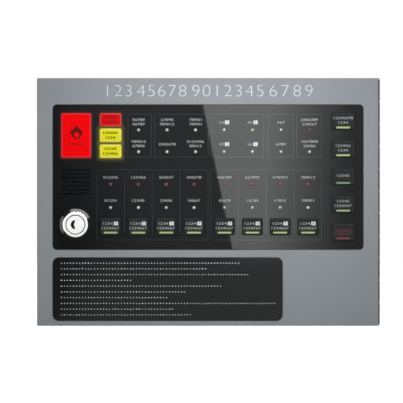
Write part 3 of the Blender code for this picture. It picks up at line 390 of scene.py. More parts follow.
def lit_lens(name, deep, bright, strength, lamp=None, rim=None):
    """Moulded acrylic lens with a light behind it: the light is a little stronger along fine prism ribs.

    A lamp's lens is paler along its rim, where the wall carries the light to the edge.
    """
    surface, tree, shader, place = new_material(
        name, IOR=1.49, Roughness=0.12, Specular_IOR_Level=0.06, Emission_Strength=strength
    )
    ribs = add(
        tree, "ShaderNodeTexWave", {"Vector": place, "Scale": 1 / (8.0 * MM), "Distortion": 0.4},
        wave_type="BANDS", bands_direction="Z",
    ).outputs["Fac"]
    colour = mix(tree, maths(tree, "MULTIPLY", ribs, noise(tree, place, 9, 2.0)), deep, bright)
    if lamp is not None:
        left, right, bottom, top = lamp_rectangle(lamp)
        inside = ((left + LAMP_RIM, -1, bottom + LAMP_RIM), (right - LAMP_RIM, 1, top - LAMP_RIM))
        colour = mix(tree, inside_box(tree, place, *inside), rim, colour)
    connect(tree, shader, Base_Color=colour, Emission_Color=colour, Normal=bumped(tree, ribs, 0.004, 0.5))
    return surface


def cast_epoxy(name, rim, core, span, strength):
    """Diffused epoxy of a light point: paler in the middle of each dome, where the chip sits."""
    surface, tree, shader, place = new_material(
        name, IOR=1.54, Roughness=0.18, Specular_IOR_Level=0.12, Emission_Strength=strength
    )
    crown = between(tree, axes_of(tree, place)["Y"], 0.85, 0.0, *span)
    cells = noise(tree, place, 0.6, 2.0)
    colour = mix(tree, maths(tree, "MULTIPLY_ADD", cells, 0.3, crown, use_clamp=True), rim, core)
    connect(tree, shader, Base_Color=colour, Emission_Color=colour)
    return surface


def circuit_board(name, boxes):
    """Green solder resist: lighter tracks in a square pattern, tinned dots, and parts in own colours."""
    surface, tree, shader, place = new_material(name, IOR=1.5, Specular_IOR_Level=0.3)
    turn = {"Vector": place, "Rotation": (np.pi / 2, 0, 0)}
    upright = add(tree, "ShaderNodeMapping", turn).outputs["Vector"]
    tracks = add(
        tree, "ShaderNodeTexBrick",
        {"Vector": upright, "Color1": linear("1B5130"), "Color2": linear("20603A"),
         "Mortar": linear("2F7A4A"), "Scale": 1.0, "Mortar Size": 0.35 * MM, "Brick Width": 17 * MM,
         "Row Height": 2.5 * MM},
        offset=0.35, squash=1.0,
    ).outputs["Color"]
    dots = add(
        tree, "ShaderNodeTexVoronoi", {"Vector": place, "Scale": 1 / (5.2 * MM), "Randomness": 0.8}
    ).outputs["Distance"]
    colour = mix(tree, maths(tree, "LESS_THAN", dots, 0.11), tracks, "B7B9B4")
    grain = noise(tree, place, 2.5, 3.0)
    connect(
        tree, shader, Base_Color=paint_boxes(tree, place, colour, boxes),
        Roughness=between(tree, grain, 0.30, 0.50), Normal=bumped(tree, grain, 0.03),
    )
    return surface


def turned_nickel(name, x, z, black_or_shade_from, keyway=None):
    """Nickel plate turned on a lathe: fine rings round the axis, and black past a given radius.

    keyway gives the depth past which what lies near the axis is black too: painted shade in the key's slot.
    """
    surface, tree, shader, place = new_material(name, Specular_IOR_Level=0.10)
    flat = vector_maths(tree, "MULTIPLY", vector_maths(tree, "SUBTRACT", place, (x, 0, z)), (1, 0, 1))
    radius = vector_maths(tree, "LENGTH", flat, result="Value")
    rings = maths(tree, "SINE", maths(tree, "MULTIPLY", radius, 2 * np.pi / (0.45 * MM)))
    wear = noise(tree, place, 3, 4.0)
    # Black past the radius: the lock's real black bezel, and on the plug painted shade round the gap to its
    # ring
    dark = maths(tree, "GREATER_THAN", radius, black_or_shade_from)
    # Painted shade: inside the keyway, past the given depth, the plug is painted black
    if keyway is not None:
        deep = maths(tree, "GREATER_THAN", axes_of(tree, place)["Y"], keyway)
        dark = maths(tree, "MAXIMUM", dark, deep)
    bright = mix(tree, wear, "D8D8D6", "E4E4E3")
    black = mix(tree, wear, "0C0D0E", "141517")
    satin = between(tree, wear, 0.20, 0.27)
    polish = between(tree, wear, 0.07, 0.12)
    ends = {FACTOR: dark, 2: satin, 3: polish}
    rough = add(tree, "ShaderNodeMix", ends, data_type="FLOAT").outputs["Result"]
    connect(
        tree, shader, Base_Color=mix(tree, dark, bright, black), Metallic=maths(tree, "SUBTRACT", 1.0, dark),
        Roughness=rough, Normal=bumped(tree, rings, 0.0015, 0.6),
    )
    return surface


def grids(points, wrap_rows=False, wrap_columns=False):
    """Points and quads of grids shaped copies, rows, columns, 3.

    Each quad joins four neighbours, and a wrapped direction closes on itself.
    """
    copies, rows, columns, _ = points.shape
    row = np.arange(rows if wrap_rows else rows - 1)
    column = np.arange(columns if wrap_columns else columns - 1)
    start, row, column = np.meshgrid(np.arange(copies) * rows * columns, row, column, indexing="ij")
    below = (row + 1) % rows * columns
    row = row * columns
    beside = (column + 1) % columns
    corners = (row + column, row + beside, below + beside, below + column)
    quads = np.stack([start + corner for corner in corners], -1)
    return points.reshape(-1, 3), quads.reshape(-1, 4)


def joined(*shapes):
    """Several shapes as one: each one's quads count on from the points before it."""
    points = np.concatenate([shape[0] for shape in shapes])
    starts = np.cumsum([0] + [len(shape[0]) for shape in shapes[:-1]])
    return points, np.concatenate([shape[1] + start for shape, start in zip(shapes, starts)])


def make_piece(name, shape, surface, body, smooth=None):
    """Turn a shape into a piece that rides on a body: meeting points merge and faces turn outwards."""
    mesh = bpy.data.meshes.new(name)
    mesh.from_pydata(shape[0].tolist(), [], shape[1].tolist())
    work = bmesh.new()
    work.from_mesh(mesh)
    bmesh.ops.remove_doubles(work, verts=work.verts, dist=1e-7)
    bmesh.ops.recalc_face_normals(work, faces=work.faces)
    work.to_mesh(mesh)
    work.free()
    if smooth is not None:
        mesh.shade_smooth()
        mesh.set_sharp_from_angle(angle=np.radians(smooth))
    mesh.materials.append(surface)
    piece = bpy.data.objects.new(name, mesh)
    bpy.context.scene.collection.objects.link(piece)
    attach(piece, body)
    return piece


# Quads of a bar: four corners on the front, then the same four behind
BAR_QUADS = np.array([(0, 1, 3, 2), (4, 6, 7, 5), (0, 4, 5, 1), (1, 5, 7, 3), (3, 7, 6, 2), (2, 6, 4, 0)])


def bars(segments, width, front, depth=INK + INK_SEAT):
    """Flat closed bars that face -Y: each runs from (x, z) to (x, z), half its width to either side."""
    segments = np.asarray(segments, float).reshape(-1, 4)
    start = segments[:, :2]
    end = segments[:, 2:]
    run = (end - start) / np.linalg.norm(end - start, axis=1, keepdims=True)
    side = np.stack([-run[:, 1], run[:, 0]], 1) * width / 2
    corners = np.stack([start - side, start + side, end - side, end + side], 1)
    points = np.empty((len(segments), 2, 4, 3))
    points[..., 0] = corners[:, None, :, 0]
    points[..., 2] = corners[:, None, :, 1]
    points[:, 0, :, 1] = front
    points[:, 1, :, 1] = front + depth
    quads = BAR_QUADS[None] + 8 * np.arange(len(segments))[:, None, None]
    return points.reshape(-1, 3), quads.reshape(-1, 4)


def rounded_loops(sizes, corner, segments):
    """Rectangles round 0 with rounded corners: four quarter arcs, each about a corner's own centre."""
    quarter = np.arange(4)[:, None] * np.pi / 2 + np.linspace(0, np.pi / 2, segments + 1)
    arcs = corner * np.stack([np.cos(quarter), np.sin(quarter)], -1)
    signs = np.array([(1, 1), (-1, 1), (-1, -1), (1, -1)])
    centres = signs * (sizes[:, None, :] / 2 - corner)
    return (centres[:, :, None, :] + arcs).reshape(len(sizes), -1, 2)


def outlines(centres, sizes, line, front, corner=0.0, segments=0, depth=INK + INK_SEAT):
    """Closed outlined boxes that face -Y: a loop and that loop drawn in by the line, in front and behind."""
    centres = np.asarray(centres, float).reshape(-1, 2)
    sizes = np.broadcast_to(np.asarray(sizes, float), centres.shape)
    outer = centres[:, None] + rounded_loops(sizes, corner, segments)
    inner = centres[:, None] + rounded_loops(sizes - 2 * line, max(corner - line, 0.0), segments)
    flat = np.stack([outer, outer, inner, inner], 1)
    points = np.empty((*flat.shape[:3], 3))
    points[..., 0] = flat[..., 0]
    points[..., 2] = flat[..., 1]
    points[..., 1] = front + np.array([depth, 0, 0, depth])[None, :, None]
    return grids(points, wrap_rows=True, wrap_columns=True)


def turned(places, profile, steps, closed=False, hexagon=None, lengthwise=False):
    """Profiles of radius and depth turned about lines through each place.

    The lines run from front to back, or along X where lengthwise is set. Rows named in hexagon are
    drawn in to six flats: the radius falls by cos 30 / cos(angle from the flat's middle).
    """
    places = np.asarray(places, float).reshape(-1, 3)
    profile = np.asarray(profile, float)
    angle = np.linspace(0, 2 * np.pi, steps, endpoint=False)
    radius = np.repeat(profile[:, :1], steps, 1)
    if hexagon is not None:
        flats = np.cos(np.pi / 6) / np.cos(np.mod(angle, np.pi / 3) - np.pi / 6)
        radius[hexagon] *= flats
    depth = np.repeat(profile[:, 1:], steps, 1)
    shape = np.stack([radius * np.cos(angle), depth, radius * np.sin(angle)], -1)
    if lengthwise:
        shape = shape[..., [1, 0, 2]]
    points = places[:, None, None, :] + shape[None]
    return grids(points, wrap_rows=closed, wrap_columns=True)


def screw_heads(places, radius, height, lengthwise=False, recess=0.55):
    """Domed heads with a cross recess: depth over radius and angle on a polar grid.

    The dome falls as the square of the radius. Within two thirds of the radius the cross, an eighth of the
    diameter to either side of both axes, sinks by a share of the height. A flat underside closes the head.
    """
    cross_half = 0.14
    cross_reach = 0.68
    dome_fall = 0.45
    rim_rise = 0.35
    places = np.asarray(places, float).reshape(-1, 3)
    share = np.array([0, 0.12, 0.2, 0.3, 0.45, 0.6, 0.66, 0.72, 0.85, 0.95, 1.0])
    angle = np.linspace(0, 2 * np.pi, 40, endpoint=False)
    along = share[:, None] * np.cos(angle)
    upward = share[:, None] * np.sin(angle)
    dome = np.where(share < 1, 1 - dome_fall * share ** 2, rim_rise)[:, None] * np.ones_like(angle)
    cross = (np.minimum(np.abs(along), np.abs(upward)) < cross_half) & (share[:, None] < cross_reach)
    front = -height * (dome - recess * cross)
    flat = np.zeros((1, len(angle)))
    along = np.concatenate([along, along[-1:], flat]) * radius
    upward = np.concatenate([upward, upward[-1:], flat]) * radius
    front = np.concatenate([front, flat, flat])
    shape = np.stack([along, front, upward], -1)
    if lengthwise:
        shape = shape[..., [1, 0, 2]]
    return grids(places[:, None, None, :] + shape[None], wrap_columns=True)


def printed(text, x, z, front, height, width=None, thinning=0.0, fineness=2, stretch=1.0):
    """Plain figures as flat closed solids that face -Y, centred on x and z.

    They are scaled to the given height, and to the given width where there is one, else stretched in width.
    thinning draws every stroke's edges in, and fineness is the number of steps on each curve.
    """
    curve = bpy.data.curves.new("figures", "FONT")
    curve.body = text
    curve.size = height / FIGURE_SHARE
    curve.offset = -thinning
    curve.extrude = INK
    curve.resolution_u = fineness
    shown = bpy.data.objects.new("figures", curve)
    bpy.context.scene.collection.objects.link(shown)
    bpy.context.view_layer.update()
    solid = shown.evaluated_get(bpy.context.evaluated_depsgraph_get()).to_mesh()
    solid.calc_loop_triangles()
    flat = np.empty(len(solid.vertices) * 3)
    solid.vertices.foreach_get("co", flat)
    corners = np.empty(len(solid.loop_triangles) * 3, int)
    solid.loop_triangles.foreach_get("vertices", corners)
    bpy.data.objects.remove(shown)
    flat = flat.reshape(-1, 3)
    span = np.ptp(flat, axis=0)
    scale = (stretch if width is None else width / span[0], height / span[1])
    along, upward = ((flat - flat.min(0) - span / 2)[:, :2] * scale).T
    depth = np.where(flat[:, 2] > 0, front, front + INK + INK_SEAT)
    return np.stack([x + along, depth, z + upward], 1), corners.reshape(-1, 3)


def figures(first, count):
    """A line of figures that counts up from the first one."""
    return "".join(str((first + place) % 10) for place in range(count))


def caption(x, z, count, front, first=1, boldness=0.0):
    """A line of figures centred on x."""
    return printed(figures(first, count), x, z, front, FIGURE_HEIGHT, count * FIGURE_PITCH, -boldness)


def badge_line(x, z, count, front, first=1):
    """A line of figures followed by a number badge, and the badge's centre, together centred on x."""
    width = count * FIGURE_PITCH + BADGE_GAP + BADGE_SIZE[0]
    line = caption(x - (width - count * FIGURE_PITCH) / 2, z, count, front, first)
    return line, (x + (width - BADGE_SIZE[0]) / 2, z)


def badge_plates(centres, front):
    """Filled badges: a bar as wide as the badge is tall."""
    centres = np.asarray(centres, float)
    half = BADGE_SIZE[0] / 2
    segments = np.stack([centres[:, 0] - half, centres[:, 1], centres[:, 0] + half, centres[:, 1]], 1)
    return bars(segments, BADGE_SIZE[1], front)


def zone_x(zone):
    """Column of a zone, counted from 0, in two groups of four."""
    half = ZONES // 2
    return ZONE_GROUP_X[zone // half] + (zone % half - (half - 1) / 2) * ZONE_PITCH


def status_x(column):
    """Column of a status light."""
    return STATUS_FIRST_X + column * STATUS_PITCH


def shape_light_points():
    """Domes in the fascia's light holes, pale ones and red ones: a quarter circle turned about each axis."""
    radius = 0.0015
    rise = 0.0008
    seat = FASCIA_FACE + 0.0002
    turn = np.linspace(0, np.pi / 2, 7)
    dome = np.stack([radius * np.sin(turn), -rise * np.cos(turn)], 1)
    profile = np.concatenate([dome, [(0.0, 0.0)]])
    pale = []
    red = []
    for column in range(STATUS_COLUMNS):
        for row, z in enumerate(STATUS_ROWS_Z):
            last = column == STATUS_COLUMNS - 1 and row == 0
            (red if last else pale).append((status_x(column), seat, z))
    for zone in range(ZONES):
        red.append((zone_x(zone), seat, ZONE_ROWS_Z[0]))
        pale.append((zone_x(zone), seat, ZONE_ROWS_Z[1]))
    span = (seat - rise, seat)
    pale_epoxy = cast_epoxy("diffused_epoxy_pale", "8C966E", "C6CFB6", span, 0.08)
    red_epoxy = cast_epoxy("diffused_epoxy_red", "5E2633", "864C58", span, 0.05)
    make_piece("light_points_pale", turned(pale, profile, 20), pale_epoxy, "door", smooth=40)
    make_piece("light_points_red", turned(red, profile, 20), red_epoxy, "door", smooth=40)


def shape_fascia_print():
    """Outlines, dividers, captions of plain figures, badges and their numbers on the fascia."""
    front = FASCIA_FACE - INK
    spans = [(span, STATUS_OUTLINE_Z) for span in STATUS_OUTLINE_X]
    spans = np.array(spans + [(span, ZONE_OUTLINE_Z) for span in ZONE_OUTLINE_X])
    boxes = outlines(spans.mean(2), spans[..., 1] - spans[..., 0], OUTLINE_LINE, front, OUTLINE_CORNER, 3)
    dividers = []
    for zone in range(ZONES - 1):
        if zone != ZONES // 2 - 1:
            x = (zone_x(zone) + zone_x(zone + 1)) / 2
            dividers.append((x, DIVIDER_Z[0], x, DIVIDER_Z[1]))
    lines = bars(dividers, OUTLINE_LINE, front)
    make_piece("fascia_outlines", joined(boxes, lines), GREY_INK, "door")

    lines = []
    badges = []
    numbers = []
    for column, pair in enumerate(STATUS_CAPTIONS):
        x = status_x(column)
        for row, counts in enumerate(pair):
            z = STATUS_ROWS_Z[row]
            if (column, row) in STATUS_BADGES:
                line, badge = badge_line(x, z + CAPTION_SINGLE_Z, counts[0], front, column + row)
                lines.append(line)
                badges.append(badge)
                numbers.append((STATUS_BADGES[column, row], *badge))
            elif len(counts) == 1:
                lines.append(caption(x, z + CAPTION_SINGLE_Z, counts[0], front, column + row))
            else:
                for rise, count in zip(CAPTION_LINES_Z, counts):
                    lines.append(caption(x, z + rise, count, front, column + row + count))
    for zone in range(ZONES):
        for z, count in zip(ZONE_ROWS_Z, ZONE_CAPTIONS):
            lines.append(caption(zone_x(zone), z + ZONE_CAPTION_Z, count, front, zone))
    make_piece("fascia_captions", joined(*lines), WHITE_INK, "door")
    make_piece("fascia_badges", badge_plates(badges, front), BRIGHT_INK, "door")
    digits = [printed(text, x, z, front - INK / 2, BADGE_FIGURE_HEIGHT) for text, x, z in numbers]
    make_piece("fascia_numbers", joined(*digits), BLACK_INK, "door")


def middle(name):
    """Centre of a node's box in x and z, and the y of its front."""
    low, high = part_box(name)
    return (low.x + high.x) / 2, (low.z + high.z) / 2, low.y


def shape_key_print():
    """Figures on every key, and a number badge on each zone key; they travel with their keys."""
    for zone, key in enumerate(ZONE_KEYS):
        x, z, face = middle(key + "_key")
        front = face - INK
        first, second = ZONE_KEY_CAPTION
        line, badge = badge_line(x, z + ZONE_KEY_LINES_Z[0], first, front)
        below = caption(x, z + ZONE_KEY_LINES_Z[1], second, front)
        make_piece(key + "_caption", joined(line, below), WHITE_INK, key + "_button")
        make_piece(key + "_badge", badge_plates([badge], front), BRIGHT_INK, key + "_button")
        digit = printed(str(zone + 1), *badge, front - INK / 2, BADGE_FIGURE_HEIGHT)
        make_piece(key + "_number", digit, BLACK_INK, key + "_button")
    for key, counts in zip(FUNCTION_KEYS, FUNCTION_CAPTIONS):
        x, z, face = middle(key + "_key")
        heights = KEY_LINES_Z if len(counts) > 1 else (KEY_SINGLE_Z,)
        ink = WHITE_INK
        if key == FUNCTION_KEYS[-1]:
            heights = RED_KEY_LINES_Z
            ink = RED_INK
        lines = [caption(x, z + rise, count, face - INK) for rise, count in zip(heights, counts)]
        make_piece(key + "_caption", joined(*lines), ink, key + "_button")


def shape_heading():
    """Heading on the door: groups of tall thin figures, each figure in a place of its own."""
    bottom, top = HEADING_Z
    shown = []
    for left, right, count in HEADING_GROUPS:
        for x in np.linspace(left + HEADING_INSET, right - HEADING_INSET, count):
            place = (x, (bottom + top) / 2, DOOR_FACE - INK)
            number = figures(1 + len(shown), 1)
            shown.append(printed(number, *place, top - bottom, None, HEADING_THINNING, 4, HEADING_STRETCH))
    make_piece("door_heading", joined(*shown), BRIGHT_INK, "door")


def shape_label_rows():
    """Ten rows of small crosses on the instruction plate: two bars across each other at every place."""
    places = []
    for row, end in enumerate(CROSS_ENDS_X):
        along = np.arange(CROSS_FIRST_X, end, CROSS_PITCH)
        places.append(np.stack([along, np.full(len(along), CROSS_FIRST_Z - row * CROSS_ROW_PITCH)], 1))
    places = np.concatenate(places)
    half = CROSS_SIZE / 2
    rising = np.concatenate([places - half, places + half], 1)
    falling = np.concatenate([places + (-half, half), places + (half, -half)], 1)
    front = LABEL_FACE - INK
    shape = joined(bars(rising, CROSS_LINE, front), bars(falling, CROSS_LINE, front - INK / 4))
    make_piece("label_rows", shape, LABEL_INK, "door")


def flame_loop(width, height, drop):
    """Loop of a flame: height over cos(turn), width over sin(turn) sin(turn / 2), which points its top.

    A ripple of four waves round the loop gives the flame its side tongues.
    """
    turn = np.linspace(0, 2 * np.pi, 64, endpoint=False)
    swell = np.sin(turn) * np.abs(np.sin(turn / 2)) ** FLAME_POINT * (1 + FLAME_RIPPLE * np.cos(4 * turn))
    return np.stack([FLAME_CENTRE[0] + width * swell, FLAME_CENTRE[1] - drop + height * np.cos(turn)], 1)


def shape_lamp_print():
    """Dark figures on the lamps, and a hollow flame on the large one: two flame loops, one in the other."""
    for name, counts in LAMP_CAPTIONS.items():
        x, z, face = middle(name)
        rows = zip(LAMP_LINES_Z, counts)
        lines = [caption(x, z + rise, count, face - INK, 1, LAMP_BOLDNESS) for rise, count in rows]
        ink = DIM_RED_INK if name in RED_LAMPS else OLIVE_INK
        make_piece(name + "_caption", joined(*lines), ink, "door")

    front = middle("fire_lamp_lens")[2] - INK
    back = front + INK + INK_SEAT
    outer = flame_loop(FLAME_WIDTH, FLAME_HEIGHT, 0.0)
    hollow = (FLAME_WIDTH * FLAME_HOLLOW, FLAME_HEIGHT * FLAME_HOLLOW, FLAME_HEIGHT * FLAME_HOLLOW_DROP)
    inner = flame_loop(*hollow)
    loops = ((outer, back), (outer, front), (inner, front), (inner, back))
    points = np.stack([np.insert(loop, 1, depth, axis=1) for loop, depth in loops])
    make_piece("fire_lamp_symbol", grids(points[None], True, True), DARK_RED_INK, "door")
    line = caption(FLAME_CENTRE[0], FLAME_CAPTION_Z, FLAME_CAPTION, front, 1, LAMP_BOLDNESS)
    make_piece("fire_lamp_caption", line, DIM_RED_INK, "door")


def shape_lock():
    """Lock front and barrel, turned: a bright flat ring, a sloped dark bezel and a plain barrel behind.

    A round ward stands in the keyway, from the plug's side.
    """
    x, front, z = JOINTS["lock_turn"]["pos_m"]
    low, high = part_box("lock_housing")
    bezel = (high.x - low.x) / 2
    bore = 0.0103
    ring = 0.0127
    ring_edge = 0.0005
    barrel = 0.0122
    slope_depth = 0.0018
    bezel_round = 0.0006
    barrel_edge = 0.0005
    bore_edge = 0.0002
    seam = 0.0001
    bezel_rear = FASCIA_FACE - 0.0003
    bezel_start = ring + ring_edge
    turn = np.linspace(0, np.pi / 2, 9)
    quarter = np.stack([np.sin(turn), 1 - np.cos(turn)], 1)
    edge = (ring, front) + ring_edge * quarter
    slope_start = front + 2 * ring_edge
    crown = (bezel - bezel_round, slope_start + slope_depth) + bezel_round * quarter
    behind = [
        (bezel, bezel_rear), (barrel, bezel_rear), (barrel, high.y - barrel_edge),
        (barrel - barrel_edge, high.y), (bore, high.y), (bore, front + bore_edge), (bore + bore_edge, front),
    ]
    profile = np.concatenate([edge, [(bezel_start, slope_start)], crown, behind])
    nickel = turned_nickel("nickel_ring_black_bezel", x, z, bezel_start - seam)
    face = turned([(x, 0, z)], profile, 128, closed=True)
    piece = make_piece("lock_face", face, nickel, "door", 20)
    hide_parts("lock_housing")
    # The plug is painted in shade past its face radius and inside its keyway
    plug = turned_nickel("turned_nickel_plug", x, z, PLUG_FACE_RADIUS, front + KEYWAY_SHADE)
    dress("lock_plug", plug)
    ward = [(0.0, 0.0), (WARD_RADIUS, 0.0), (WARD_RADIUS, WARD_DEPTH), (0.0, WARD_DEPTH)]
    place = (x + WARD_OFFSET, front + WARD_SET_BACK, z)
    make_piece("keyway_ward", turned([place], ward, 48), plug, "lock_rotor", 20)


def shape_fasteners():
    """Nuts, screws and rivets inside the box and on the back of the door."""
    nuts = [(x, NUT_Y, z) for x in NUT_X for z in NUT_Z]
    make_piece("fascia_nuts", turned(nuts, NUT_PROFILE, 24, True, [1, 2]), ZINC, "door", 30)

    display = [(x, DISPLAY_SCREW_Y, z) for x in DISPLAY_SCREW_X for z in DISPLAY_SCREW_Z]
    low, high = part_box("main_board")
    sides = (low.x + MAIN_SCREW_INSET, high.x - MAIN_SCREW_INSET)
    ends = (low.z + MAIN_SCREW_INSET, high.z - MAIN_SCREW_INSET)
    main = [(x, high.y - MAIN_BOARD_FACE, z) for x in sides for z in ends]
    low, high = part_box("battery_bracket")
    z = (low.z + high.z) / 2
    bracket = [(side * BRACKET_SCREW_X, high.y - BRACKET_SHEET, z) for side in (-1, 1)]
    low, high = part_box("hinge_leaf_box")
    box_rivets = [(low.x, high.y - BOX_RIVET_INSET, z) for z in RIVETS_Z]
    low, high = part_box("hinge_leaf_door")
    door_rivets = [(low.x, low.y + DOOR_RIVET_INSET, z) for z in RIVETS_Z]
    for name, body, places, head in (
        ("display_board_screws", "door", display, DISPLAY_SCREW),
        ("main_board_screws", "enclosure", main, MAIN_SCREW),
        ("bracket_screws", "enclosure", bracket, BRACKET_SCREW),
        ("box_hinge_rivets", "enclosure", box_rivets, RIVET),
        ("door_hinge_rivets", "door", door_rivets, RIVET),
    ):
        shape = screw_heads(places, *head, True, 0.0) if head is RIVET else screw_heads(places, *head)
        make_piece(name, shape, ZINC, body, 35)


def shape_terminal_screws():
    """A round screw with a cross recess in every terminal's well."""
    for name, ways in TERMINAL_WAYS.items():
        low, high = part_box(name)
        pitch = (high.x - low.x) / ways
        z = low.z + (high.z - low.z) * TERMINAL_RISE
        places = [(low.x + (way + 0.5) * pitch, low.y + TERMINAL_WELL, z) for way in range(ways)]
        shape = screw_heads(places, *TERMINAL_SCREW)
        make_piece(name + "_screws", shape, BRIGHT, "enclosure", 35)


def dress(name, surface):
    """Give a CAD node its material."""
    materials = NODES[name].data.materials
    materials.clear()
    materials.append(surface)


# Powder coat: sprayed and baked, a fine orange peel; drawn a little coarser than the real half millimetre
POWDER = grained(
    "powder_coated_steel", ("91979C", "999EA3"), 1.3, 60, (0.42, 0.55), 0.02, IOR=1.5, Specular_IOR_Level=0.2
)
# Instruction plate: smooth glossy film, which mirrors softly
FILM = grained(
    "gloss_polyester_film", ("0F1213", "131516"), 0.8, 40, (0.02, 0.04), 0.0, IOR=1.5, Specular_IOR_Level=0.28
)
# Keys: ABS moulded in a spark-eroded tool, satin with a fine grain
KEY_ABS = grained(
    "spark_textured_abs", ("141617", "1A1C1D"), 0.7, 12, (0.26, 0.36), 0.006,
    IOR=1.53, Specular_IOR_Level=0.12,
)
# Black nylon blocks and buzzer case
BLACK_NYLON = grained(
    "moulded_black_nylon", ("101112", "17181A"), 0.6, 15, (0.45, 0.60), 0.01, IOR=1.53, Specular_IOR_Level=0.2
)
# Hinge: rolled steel under a dull phosphate coat
HINGE = grained(
    "phosphated_hinge_steel", ("2A2D2F", "36393B"), 0.5, 9, (0.50, 0.65), 0.006,
    IOR=1.5, Specular_IOR_Level=0.1,
)
# Green polyamide terminal strips
GREEN_NYLON = grained(
    "moulded_green_polyamide", ("21693F", "2B7A4B"), 0.6, 15, (0.42, 0.58), 0.01,
    IOR=1.53, Specular_IOR_Level=0.3,
)


def screen_ink(name, tones, gloss=(0.35, 0.50), relief=0.003, shine=0.15):
    """Screen-printed ink: nearly flat, with the faint unevenness that the mesh leaves."""
    return grained(name, tones, 0.5, 12, gloss, relief, IOR=1.49, Specular_IOR_Level=shine)


WHITE_INK = screen_ink("white_screen_ink", ("A8ACAB", "B8BCBA"))
BRIGHT_INK = screen_ink("bright_white_screen_ink", ("D6DADC", "E2E5E6"))
LABEL_INK = screen_ink("grey_white_screen_ink", ("E2E4E4", "ECEEEE"))
# The outlines lie under the fascia's own polish, so they mirror as it does
GREY_INK = screen_ink("grey_screen_ink", ("25282A", "2D3032"), (0.010, 0.020), 0.0, 0.65)
BLACK_INK = screen_ink("black_screen_ink", ("17181A", "232427"))
RED_INK = screen_ink("red_screen_ink", ("6A2A36", "7A3340"))
DARK_RED_INK = screen_ink("dark_red_screen_ink", ("5E0204", "6C0406"), shine=0.03)
DIM_RED_INK = screen_ink("dim_red_screen_ink", ("940204", "A20407"), shine=0.03)
OLIVE_INK = screen_ink("olive_screen_ink", ("3C3804", "484406"), shine=0.03)
# Metals: streaks run along the rolling or turning direction
ZINC = worked_metal("zinc_plated_sheet", ("A5A9AC", "C3C6C8"), (9, 9, 5), (0.30, 0.46), 0.004)
BRIGHT = worked_metal("bright_turned_steel", ("B4B7BA", "D0D3D5"), (0.4, 0.4, 3), (0.18, 0.32), 0.002)
BRASS = worked_metal("turned_brass", ("A9832F", "C9A24A"), (0.5, 3, 0.5), (0.25, 0.40), 0.003)

for surface, nodes in (
    (POWDER, ("door_panel", "back_box")),
    (HINGE, ("hinge_leaf_box", "hinge_leaf_door", "hinge_pin")),
    (BRIGHT, ("lock_nut", "lock_cam_screw")),
    (ZINC, ("lock_striker", "lock_cam", "battery_bracket", "power_supply")),
    (BLACK_NYLON, ("power_supply_terminals", "mains_terminal_block", "buzzer")),
    (GREEN_NYLON, ("zone_terminals", "output_terminals")),
    (BRASS, ("earth_stud",)),
    (FILM, ("label_plate",)),
    (gloss_fascia(), ("fascia",)),
):
    for node in nodes:
        dress(node, surface)

# Lamps: acrylic with a light behind, the large red one the strongest
for node, tones, strength, rim in (
    ("fire_lamp_lens", ("CC0003", "DA0005"), 0.50, "B03034"),
    ("alarm_lamp_lens", ("B40006", "BE020B"), 0.46, "AC4442"),
    ("fault_lamp_lens", ("C0BE12", "CCCA1C"), 0.42, "CEC25E"),
    ("disabled_lamp_lens", ("C0BE12", "CCCA1C"), 0.42, "CEC25E"),
):
    dress(node, lit_lens("lit_acrylic_" + node, *tones, strength, node, rim))

# Light bars: yellow-green, green or red acrylic with a weak light behind
ZONE_BAR = lit_lens("lit_yellow_green_acrylic", "A4AA76", "B6BC88", 0.22)
BARS = {
    "silence_sounders": lit_lens("lit_lime_acrylic", "A6AD78", "B6BC86", 0.22),
    "reset": lit_lens("lit_green_acrylic", "748A68", "849A7A", 0.30),
    "access": lit_lens("lit_pale_green_acrylic", "909E6C", "A2AE80", 0.26),
    "evacuate": lit_lens("lit_dull_red_acrylic", "74404E", "84505E", 0.22),
}
BARS["mute_buzzer"] = BARS["silence_sounders"]
for key in ZONE_KEYS + FUNCTION_KEYS:
    dress(key + "_key", KEY_ABS)
    dress(key + "_light_bar", BARS.get(key, ZONE_BAR))


def dress_boards():
    """Boards with their soldered parts in their own colours.

    The display board is painted black behind the sound holes: painted shade seen through them.
    """
    low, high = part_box("main_board")
    face = high.y - 0.0018
    tip = low.y - 0.001
    top = low.y + 0.0006
    relays = ((low.x + 0.010, tip, 0.0655), (low.x + 0.125, face, 0.0865), "1F2F4A")
    fuses = ((high.x - 0.072, tip, 0.0575), (high.x - 0.010, face, 0.0805), "C9C7BD")
    capacitors = ((high.x - 0.024, tip, -0.004), (high.x - 0.008, face, 0.044), "20242B")
    capacitor_tops = ((high.x - 0.024, tip, -0.004), (high.x - 0.008, top, 0.044), "A9ACAF")
    processor = ((-0.079, tip, 0.019), (-0.057, face, 0.041), "17181A")
    header = ((-0.041, tip, 0.003), (-0.004, face, 0.013), "26282B")
    parts = (relays, fuses, capacitors, capacitor_tops, processor, header)
    dress("main_board", circuit_board("green_board_main", parts))

    rear = -0.0832
    face = -0.0850
    skin = 0.0003
    header = ((-0.041, rear, 0.029), (-0.004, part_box("display_board")[1].y + 0.001, 0.039), "26282B")
    # Painted shade: the board's face is painted black where the sound holes look onto it
    shade_behind_holes = ((-0.160, face - skin, 0.001), (-0.117, face + skin, 0.042), "0C0D0E")
    dress("display_board", circuit_board("green_board_display", (header, shade_behind_holes)))


def dress_batteries():
    """Battery cases: dark grey moulded ABS, with tinned tabs above the lid."""
    tab_height = 0.0041
    for name in ("battery_left", "battery_right"):
        low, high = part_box(name)
        tabs = [((low.x, low.y, high.z - tab_height), (high.x, high.y, high.z + 0.001), "B9BBB8")]
        tones = ("34373C", "40434A")
        dress(name, grained("moulded_abs_" + name, tones, 0.9, 30, (0.45, 0.60), 0.02, tabs, IOR=1.53))


dress_boards()
dress_batteries()
shape_light_points()
shape_fascia_print()
shape_key_print()
shape_heading()
shape_label_rows()
shape_lamp_print()
shape_lock()
shape_fasteners()
shape_terminal_screws()


